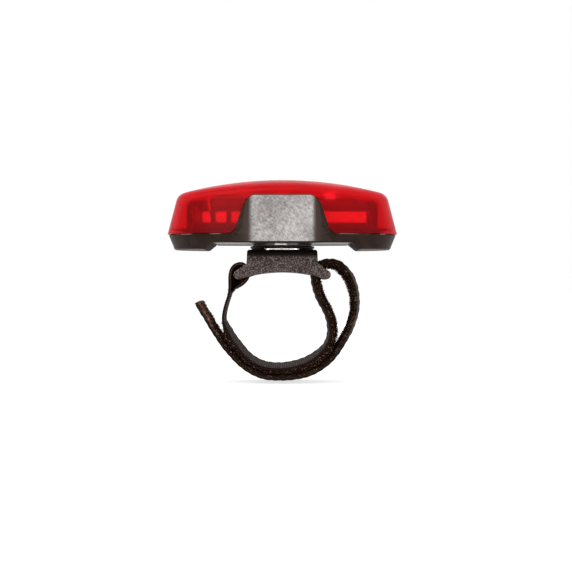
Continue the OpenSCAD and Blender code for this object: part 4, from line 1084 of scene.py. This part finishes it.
def fibre_tree():
    """Short bent fibres scattered over a surface: a curved hair on each point, leaning at random."""
    fibres = NodeTree(
        "strap fibres", Density=("Float", 1e6), Length=("Float", 0.8 * MM), Thickness=("Float", 0.05 * MM),
        Bow=("Float", 0.5), Lean=("Float", 0.6), Seed=("Int", 3),
    )
    spread = fibres.node("GeometryNodeDistributePointsOnFaces", {
        "Mesh": fibres.given("Geometry"), "Density": fibres.given("Density"), "Seed": fibres.given("Seed")})
    length = fibres.given("Length")
    bow, height = (fibres.math("MULTIPLY", length, share) for share in (fibres.given("Bow"), 0.75))
    hair = fibres.node("GeometryNodeCurveQuadraticBezier", {
        "Resolution": 3, "Start": (0, 0, 0), "Middle": fibres.vector(z=length), "End": fibres.vector(x=bow, z=height)})
    ring = fibres.node("GeometryNodeCurvePrimitiveCircle", {"Resolution": 3, "Radius": fibres.given("Thickness")})
    strand = fibres.node("GeometryNodeCurveToMesh", {
        "Curve": hair.outputs[0], "Profile Curve": ring.outputs[0], "Fill Caps": True})
    lean = fibres.vector(fibres.given("Lean"), fibres.given("Lean"), math.pi)
    tilt = fibres.node("FunctionNodeEulerToRotation", {
        "Euler": fibres.random(fibres.scaled(lean, -1.0), lean, fibres.given("Seed"))})
    pose = fibres.node("FunctionNodeRotateRotation", {
        "Rotation": spread.outputs["Rotation"], "Rotate By": tilt.outputs[0]}, rotation_space="LOCAL")
    placed = fibres.node("GeometryNodeInstanceOnPoints", {
        "Points": spread.outputs["Points"], "Instance": strand.outputs[0], "Rotation": pose.outputs[0],
        "Scale": fibres.random(0.55, 1.15, fibres.given("Seed"), "FLOAT")})
    return fibres.end(placed.outputs["Instances"])


def fluted_ring_tree():
    """A flat ring with V-shaped flutes pressed into its edge."""
    ring = NodeTree(
        "fluted ring", Flutes=("Int", 96), Radius=("Float", 5 * MM), Flute_Depth=("Float", 0.18 * MM),
        Bore=("Float", 1 * MM), Low=("Float", 0.0), Thickness=("Float", 0.5 * MM),
    )
    edge = ring.node("GeometryNodeCurveStar", {
        "Points": ring.given("Flutes"), "Outer Radius": ring.given("Radius"),
        "Inner Radius": ring.math("SUBTRACT", ring.given("Radius"), ring.given("Flute_Depth"))})
    bore = ring.node("GeometryNodeCurvePrimitiveCircle", {"Resolution": 48, "Radius": ring.given("Bore")})
    flat = ring.node("GeometryNodeFillCurve", {"Curve": ring.joined(edge.outputs["Curve"], bore.outputs["Curve"])})
    raised = ring.node("GeometryNodeExtrudeMesh", {
        "Mesh": flat.outputs[0], "Offset Scale": ring.given("Thickness"), "Individual": False})
    under = ring.node("GeometryNodeFlipFaces", {"Mesh": flat.outputs[0]})
    shell = ring.joined(raised.outputs["Mesh"], under.outputs["Mesh"])
    closed = ring.node("GeometryNodeMergeByDistance", {"Geometry": shell, "Distance": SLIVER * MM})
    placed = ring.node("GeometryNodeTransform", {
        "Geometry": closed.outputs[0], "Translation": ring.vector(z=ring.given("Low"))})
    return ring.end(placed.outputs[0])


def washer():
    """The thrust washer between boss and bracket, at its solid's size."""
    low, high = (np.array(corner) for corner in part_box("thrust_washer"))
    piece = open_mesh("thrust_washer_piece", [(0, 0, 0)], [], [])
    fluted_ring_tree().grow(
        piece, "washer_steel", Radius=float(high[0] - low[0]) / 2, Bore=(PIVOT_BORE / 2 + SLIP_GAP) * MM,
        Low=float(low[2]), Thickness=float(high[2] - low[2]))
    smooth(piece)
    dress(piece, frame["nodes"]["thrust_washer"]["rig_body"], "washer_steel", "washer_steel")
    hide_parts("thrust_washer")


def stitch_tree():
    """Sunk stitches along lines: a rounded thread bar at each pitch, turned along its line."""
    stitches = NodeTree(
        "strap stitches", Pitch=("Float", 2.1 * MM), Length=("Float", 1.5 * MM), Thread=("Float", 0.28 * MM))
    lines = stitches.node("GeometryNodeMeshToCurve", {"Mesh": stitches.given("Geometry")})
    spots = stitches.node("GeometryNodeResampleCurve", {
        "Curve": lines.outputs[0], "Length": stitches.given("Pitch")}, mode="LENGTH")
    along = stitches.node("FunctionNodeAlignRotationToVector", {
        "Vector": stitches.node("GeometryNodeInputTangent").outputs[0]}, axis="Z")
    bar = stitches.node("GeometryNodeMeshUVSphere", {"Segments": 8, "Rings": 6, "Radius": 0.5})
    thread = stitches.node("GeometryNodeTransform", {
        "Geometry": bar.outputs["Mesh"],
        "Scale": stitches.vector(stitches.given("Thread"), stitches.given("Thread"), stitches.given("Length"))})
    placed = stitches.node("GeometryNodeInstanceOnPoints", {
        "Points": spots.outputs[0], "Instance": thread.outputs[0], "Rotation": along.outputs[0]})
    return stitches.end(placed.outputs["Instances"])


def open_lines(name, lines):
    """A mesh object of lines, for a tree to follow."""
    points, edges = [], []
    for line in lines:
        base = len(points)
        points.extend(line)
        edges.extend((base + i, base + i + 1) for i in range(len(line) - 1))
    return open_mesh(name, points, edges, [])


def spring_line(mirror):
    """A conical spring's wire, from the wide coil on the contact to the narrow coil on the cell."""
    rise = SPRING_H - 2 * SPRING_REST
    line = []
    for k in range(SPRING_STEPS + 1):
        share = k / SPRING_STEPS
        r = SPRING_WIDE + (SPRING_NARROW - SPRING_WIDE) * share
        turn = 2 * math.pi * SPRING_TURNS * share
        x = SPRING_REST + rise * share - CELL_STOP
        y, z = r * math.cos(turn) - CELL_Y, r * math.sin(turn) + CELL_Z
        line.append((-x, y + 2 * CELL_Y, z) if mirror else (x, y, z))
    return line


def wires():
    """Springs and leads, each a wire along its own line."""
    tubes = tube_tree()

    def wire(node, line, finish, thickness):
        piece = tubes.grow(open_lines(node + "_wire", [line]), finish, Thickness=thickness * MM)
        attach(piece, frame["nodes"][node]["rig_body"])
        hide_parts(node)

    def from_bay(points):
        return [(x - BAY_HALF, y, z + FLOOR_Z) for x, y, z in points]

    wire("spring_front", spring_line(False), "steel", SPRING_WIRE)
    wire("spring_rear", spring_line(True), "steel", SPRING_WIRE)
    wire("battery_lead", from_bay(BATTERY_LEAD), "lead_red", LEAD_D)
    wire("return_lead", from_bay(RETURN_LEAD), "lead_black", LEAD_D)


# ---------------------------------------------------------------- strap

def catmull(points, steps):
    """A smooth line through points, with the share of the way along in points."""
    last = len(points) - 1
    line, marks = [], []
    for i in range(last):
        a, b, c, d = (np.array(points[j], float) for j in (max(i - 1, 0), i, i + 1, min(i + 2, last)))
        for k in range(steps):
            t = k / steps
            square, cube = 2 * a - 5 * b + 4 * c - d, 3 * b - 3 * c + d - a
            line.append(0.5 * (2 * b + (c - a) * t + square * t ** 2 + cube * t ** 3))
            marks.append(i + t)
    return np.array(line + [np.array(points[last], float)]), np.array(marks + [last])


def right_of(line):
    """Unit vectors to the right of a line in the X-Z plane."""
    ahead = np.gradient(line, axis=0)
    ahead /= np.linalg.norm(ahead, axis=1)[:, None]
    return np.stack([ahead[:, 1], -ahead[:, 0]], axis=1)


class StrapRoute:
    """The tape's centre line at its near and far edges, measured along its length."""

    def __init__(self):
        run = np.array(RUN, float)
        out = right_of(run)
        steps = [LAYER_STEP + lift for lift in GRIP_LIFT]
        grip = [tuple(run[i] + steps[i - GRIP_FIRST] * out[i]) for i in range(GRIP_LAST, GRIP_FIRST - 1, -1)]
        rest = RUN + FOLD + grip + TAIL
        self.near, self.marks = catmull(LOOP_NEAR + rest, ROUTE_STEPS)
        self.far, _ = catmull(LOOP_FAR + rest, ROUTE_STEPS)
        self.gone = np.concatenate([[0], np.cumsum(np.linalg.norm(np.diff(self.near, axis=0), axis=1))])
        self.length = self.gone[-1]
        self.near_right, self.far_right = right_of(self.near), right_of(self.far)
        run_mark, fold_mark = len(LOOP_NEAR), len(LOOP_NEAR) + len(RUN)
        grip_mark = fold_mark + len(FOLD)
        self.run_start = self.at(run_mark)
        self.pile_start, self.pile_end = self.at(run_mark + PILE_FIRST), self.at(fold_mark + PILE_LAST)
        self.grip_inner = (self.at(run_mark + GRIP_FIRST), self.at(run_mark + GRIP_LAST))
        self.grip_outer = (self.at(grip_mark), self.at(grip_mark + len(grip) - 1))

    def at(self, mark):
        return float(np.interp(mark, self.marks, self.gone))

    def lift(self, place):
        """How far the outer layer stands off the pile at a place on the gripped run."""
        mark = np.interp(place, self.gone, self.marks) - len(LOOP_NEAR) - GRIP_FIRST
        return float(np.interp(mark, range(len(GRIP_LIFT)), GRIP_LIFT, left=0.0, right=0.0))

    def point(self, place, across, off):
        """A point on the strap by its distances along, across and off the tape's middle.

        The grip presses the tape's near edge a little into the pile.
        """
        share = min(max(across / STRAP_W + 0.5, 0), 1)
        share = share * share * (3 - 2 * share)

        def read(near, far):
            return [(1 - share) * np.interp(place, self.gone, near[:, k])
                    + share * np.interp(place, self.gone, far[:, k]) for k in (0, 1)]

        (x, z), (rx, rz) = read(self.near, self.far), read(self.near_right, self.far_right)
        size = math.hypot(rx, rz)
        first, last = self.grip_inner
        stops = (first - GRIP_EASE_IN, first + GRIP_EASE_IN, last - GRIP_EASE_OUT, last)
        held = np.interp(place, stops, (0, 1, 1, 0))
        off += SQUEEZE * held * (1 - share) * (1 - min(max((off - TAPE_T / 2) / PILE_T, 0), 1))
        return (x + off * rx / size, across, z + off * rz / size)


route = StrapRoute()


def edge_outline(half, corner, across):
    """A strip's section as (across, height) pairs, height from 0 to 1: flat faces and rounded edges."""
    turns = [math.radians(q) for q in (0, 36, 72)]
    top = [(half - corner + corner * math.sin(a), 0.5 + 0.5 * math.cos(a)) for a in turns]
    side = top + [(x, 1 - h) for x, h in reversed(top)]
    flat = np.linspace(-(half - corner), half - corner, across)[1:-1]
    return [(x, 1.0) for x in flat] + side + [(x, 0.0) for x in flat[::-1]] + [(-x, 1 - h) for x, h in side]


def places(start, end, step):
    """Places along the tape from start to end, about a step apart."""
    return np.linspace(start, end, max(2, int((end - start) / step)))


def strip(name, start, end, low, thick, step, wander):
    """A strip on the tape's route, thick(place) high from low, with edges that wander a little."""
    section = edge_outline(STRAP_W / 2, EDGE_ROUND, ACROSS_STEPS)
    quick, slow = WANDER_RATES
    rings, uv = [], []
    for place in places(start, end, step):
        swing = wander * (math.sin(place * quick) * math.sin(place * slow + 1) - 1)
        wide, high = 1 + swing / (STRAP_W / 2), thick(place)
        rings.append([route.point(place, across * wide, low + height * high) for across, height in section])
        uv += [(across / UV_UNIT, place / UV_UNIT) for across, _ in section]
    return loft(name, rings, uv)


def bed(name, spans, off, edge_spans, low, high):
    """Open faces for fibres to grow on: the patch's face at off(place) over spans, and its edges over edge_spans."""
    points, faces = [], []
    half = STRAP_W / 2 - FIBRE_INSET

    def sheet(span, line):
        rows = [line(place) for place in places(*span, 1)]
        base, width = len(points), len(rows[0])
        points.extend(p for row in rows for p in row)
        faces.extend(
            (base + k * width + i, base + k * width + i + 1, base + (k + 1) * width + i + 1, base + (k + 1) * width + i)
            for k in range(len(rows) - 1) for i in range(width - 1)
        )

    for span in spans:
        sheet(span, lambda place: [route.point(place, y, off(place)) for y in (-half, -half / 3, half / 3, half)])
    for span in edge_spans:
        sheet(span, lambda place: [route.point(place, -half, h) for h in (low, high(place))])
        sheet(span, lambda place: [route.point(place, half, h) for h in (high(place), low)])
    return open_mesh(name, points, [], faces)


def along_tape(start, end, y, off):
    return [route.point(place, y, off) for place in places(start, end, 0.5)]


def across_tape(place, off, half):
    return [route.point(place, y, off) for y in np.linspace(-half, half, STITCH_STEPS)]


def tape_finish(face, x, _, z):
    """The inside of the sewn loop, which faces the left bar and is painted lighter as painted light, and plain tape
    elsewhere.
    """
    to_x, to_z = BAR_PLACE[0] - x, BAR_PLACE[1] - z
    reach = math.hypot(to_x, to_z)
    inward = face.normal.x * to_x + face.normal.z * to_z
    return "loop_inside" if reach < LOOP_REACH and inward > 0.5 * reach else "strap_tape"


def strap():
    """Tape, pile and hook patches, their fibres and the stitches."""
    face, back = TAPE_T / 2, -TAPE_T / 2
    pile_start, pile_end, length = route.pile_start, route.pile_end, route.length
    hook_start, grip_end = pile_end + HOOK_GAP, route.grip_inner[1]

    def pile_high(place):
        """The pile's height: worn thin where it begins, filled up to the hooks in the grip, and free beyond."""
        begun = min(max((place - pile_start) / PILE_WEAR, PILE_WORN), 1)
        return (PILE_T + route.lift(place) if place < grip_end + 1 else PILE_FREE * PILE_T) * begun

    def tape_thick(place):
        """The tape's thickness, pressed thin at its sewn end."""
        return TAPE_T * min(PRESSED + place / PRESS_REACH, 1)

    webbing = webbing_tree()
    tape = strip("strap_webbing", 0, length, back, tape_thick, RIB_PITCH / 5, 0.04)
    pile = strip("pile_backing", pile_start, pile_end, face, pile_high, 0.3, 0.1)
    hooks = strip("hook_backing", hook_start, length, face, lambda place: HOOK_SHARE * HOOK_T, 0.3, 0.08)
    webbing.grow(tape, "strap_tape", Rib_Height=RIB_H * MM)
    # Painted light on the loop's inside.
    tape.data.materials.append(FINISHES["loop_inside"])
    paint(tape, ("strap_tape", "loop_inside"), tape_finish)
    webbing.grow(pile, "strap_pile", Lump_Height=0.45 * MM)
    webbing.grow(hooks, "strap_hooks", Lump_Height=0.25 * MM)

    fibres = fibre_tree()
    fuzz_end = pile_end + FUZZ_REACH
    fuzz = bed("pile_fuzz", [(grip_end + 0.5, fuzz_end)],
               lambda place: face + np.interp(place, (pile_end, fuzz_end), (0.7 * PILE_T, FIBRE_LOW)),
               [(pile_start, pile_end)], face + FIBRE_LOW,
               lambda place: face + pile_high(place) + (GROOVE_FILL if place < grip_end else 0))
    fibres.grow(fuzz, "strap_pile", Density=8e6, Length=0.95 * MM, Thickness=0.045 * MM, Bow=0.6, Lean=0.8, Seed=11)
    bristle_start, bristle_end = hook_start + 0.2, length - 0.3
    outer_start, outer_end = route.grip_outer
    bristles = bed("hook_bristles", [(bristle_start, outer_start), (outer_end - 1, bristle_end)],
                   lambda place: face + 0.6 * HOOK_T, [(bristle_start, bristle_end)], face + FIBRE_LOW,
                   lambda place: face + 0.75 * HOOK_T)
    fibres.grow(bristles, "strap_hooks",
                Density=6e6, Length=0.5 * MM, Thickness=0.05 * MM, Bow=0.75, Lean=0.45, Seed=23)

    edge = STRAP_W / 2 - HEM
    pile_rows = (pile_start + ROW_IN, pile_end - PILE_ROW_OUT)
    hook_rows = (hook_start + ROW_IN, length - HOOK_ROW_OUT)
    lines = [across_tape(place, back + tape_thick(place) + STITCH_RISE, edge) for place in END_ROWS]
    lines += [across_tape(route.run_start + place, face + STITCH_RISE, edge) for place in RUN_ROWS]
    lines += [along_tape(*rows, y, back + STITCH_SINK) for rows in (pile_rows, hook_rows) for y in (-edge, edge)]
    lines += [across_tape(place, back + STITCH_SINK, edge) for place in (pile_rows[0], hook_rows[1])]
    seams = stitch_tree().grow(open_lines("strap_stitches", lines), "strap_thread")

    for piece, slot in ((tape, "strap_tape"), (pile, "strap_pile"), (hooks, "strap_hooks"), (fuzz, "strap_pile"),
                        (bristles, "strap_hooks"), (seams, "strap_tape")):
        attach(piece, "bracket")
    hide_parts("strap_tape")
    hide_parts("pile_patch")
    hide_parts("hook_patch")


# ---------------------------------------------------------------- stage, light and camera

def studio():
    """White paper under a white sky that lights the part softly, and four lamps that aim at it."""
    world = bpy.data.worlds.new("studio")
    scene.world = world
    world.use_nodes = True
    sky = Nodes(world.node_tree)
    light = sky.tree.nodes["Background"]
    light.inputs["Color"].default_value = grey(1.0)
    level = sky.node("ShaderNodeMapRange", {"Value": sky.seen_rays(), "To Min": SKY_LEVEL, "To Max": 1.0})
    sky.tree.links.new(level.outputs["Result"], light.inputs["Strength"])

    corners = [(x * FLOOR_REACH, y * FLOOR_REACH, FLOOR_LEVEL) for x, y in ((-1, -1), (1, -1), (1, 1), (-1, 1))]
    floor = open_mesh("floor", corners, [], [(0, 1, 2, 3)])
    paper = Finish("white_paper", Base_Color=grey(0.6), Roughness=0.9, Specular_IOR_Level=0.0, Emission_Color=grey(1.0))
    paper.set("Emission Strength", paper.math("MULTIPLY", paper.seen_rays(), FLOOR_GLOW))
    floor.data.materials.append(paper.material)

    for name, place, wide, tall, power in LAMPS:
        lamp = bpy.data.lights.new(name, "AREA")
        lamp.shape, lamp.size, lamp.size_y, lamp.energy = "RECTANGLE", wide, tall, power
        holder = in_scene(name, lamp)
        holder.location = place
        holder.rotation_euler = (-Vector(place)).to_track_quat("-Z", "Y").to_euler()


def camera():
    """The photograph's view: level, from the near side."""
    view = bpy.data.cameras.new("view")
    view.lens, view.sensor_width = CAMERA_LENS, CAMERA_SENSOR
    view.clip_start, view.clip_end = CAMERA_CLIP
    holder = in_scene("view", view)
    holder.location = [c * MM for c in CAMERA_PLACE]
    holder.rotation_euler = (math.pi / 2, 0, 0)
    scene.camera = holder


camera()
strap()
housing()
lens()
fittings()
wires()
washer()
studio()
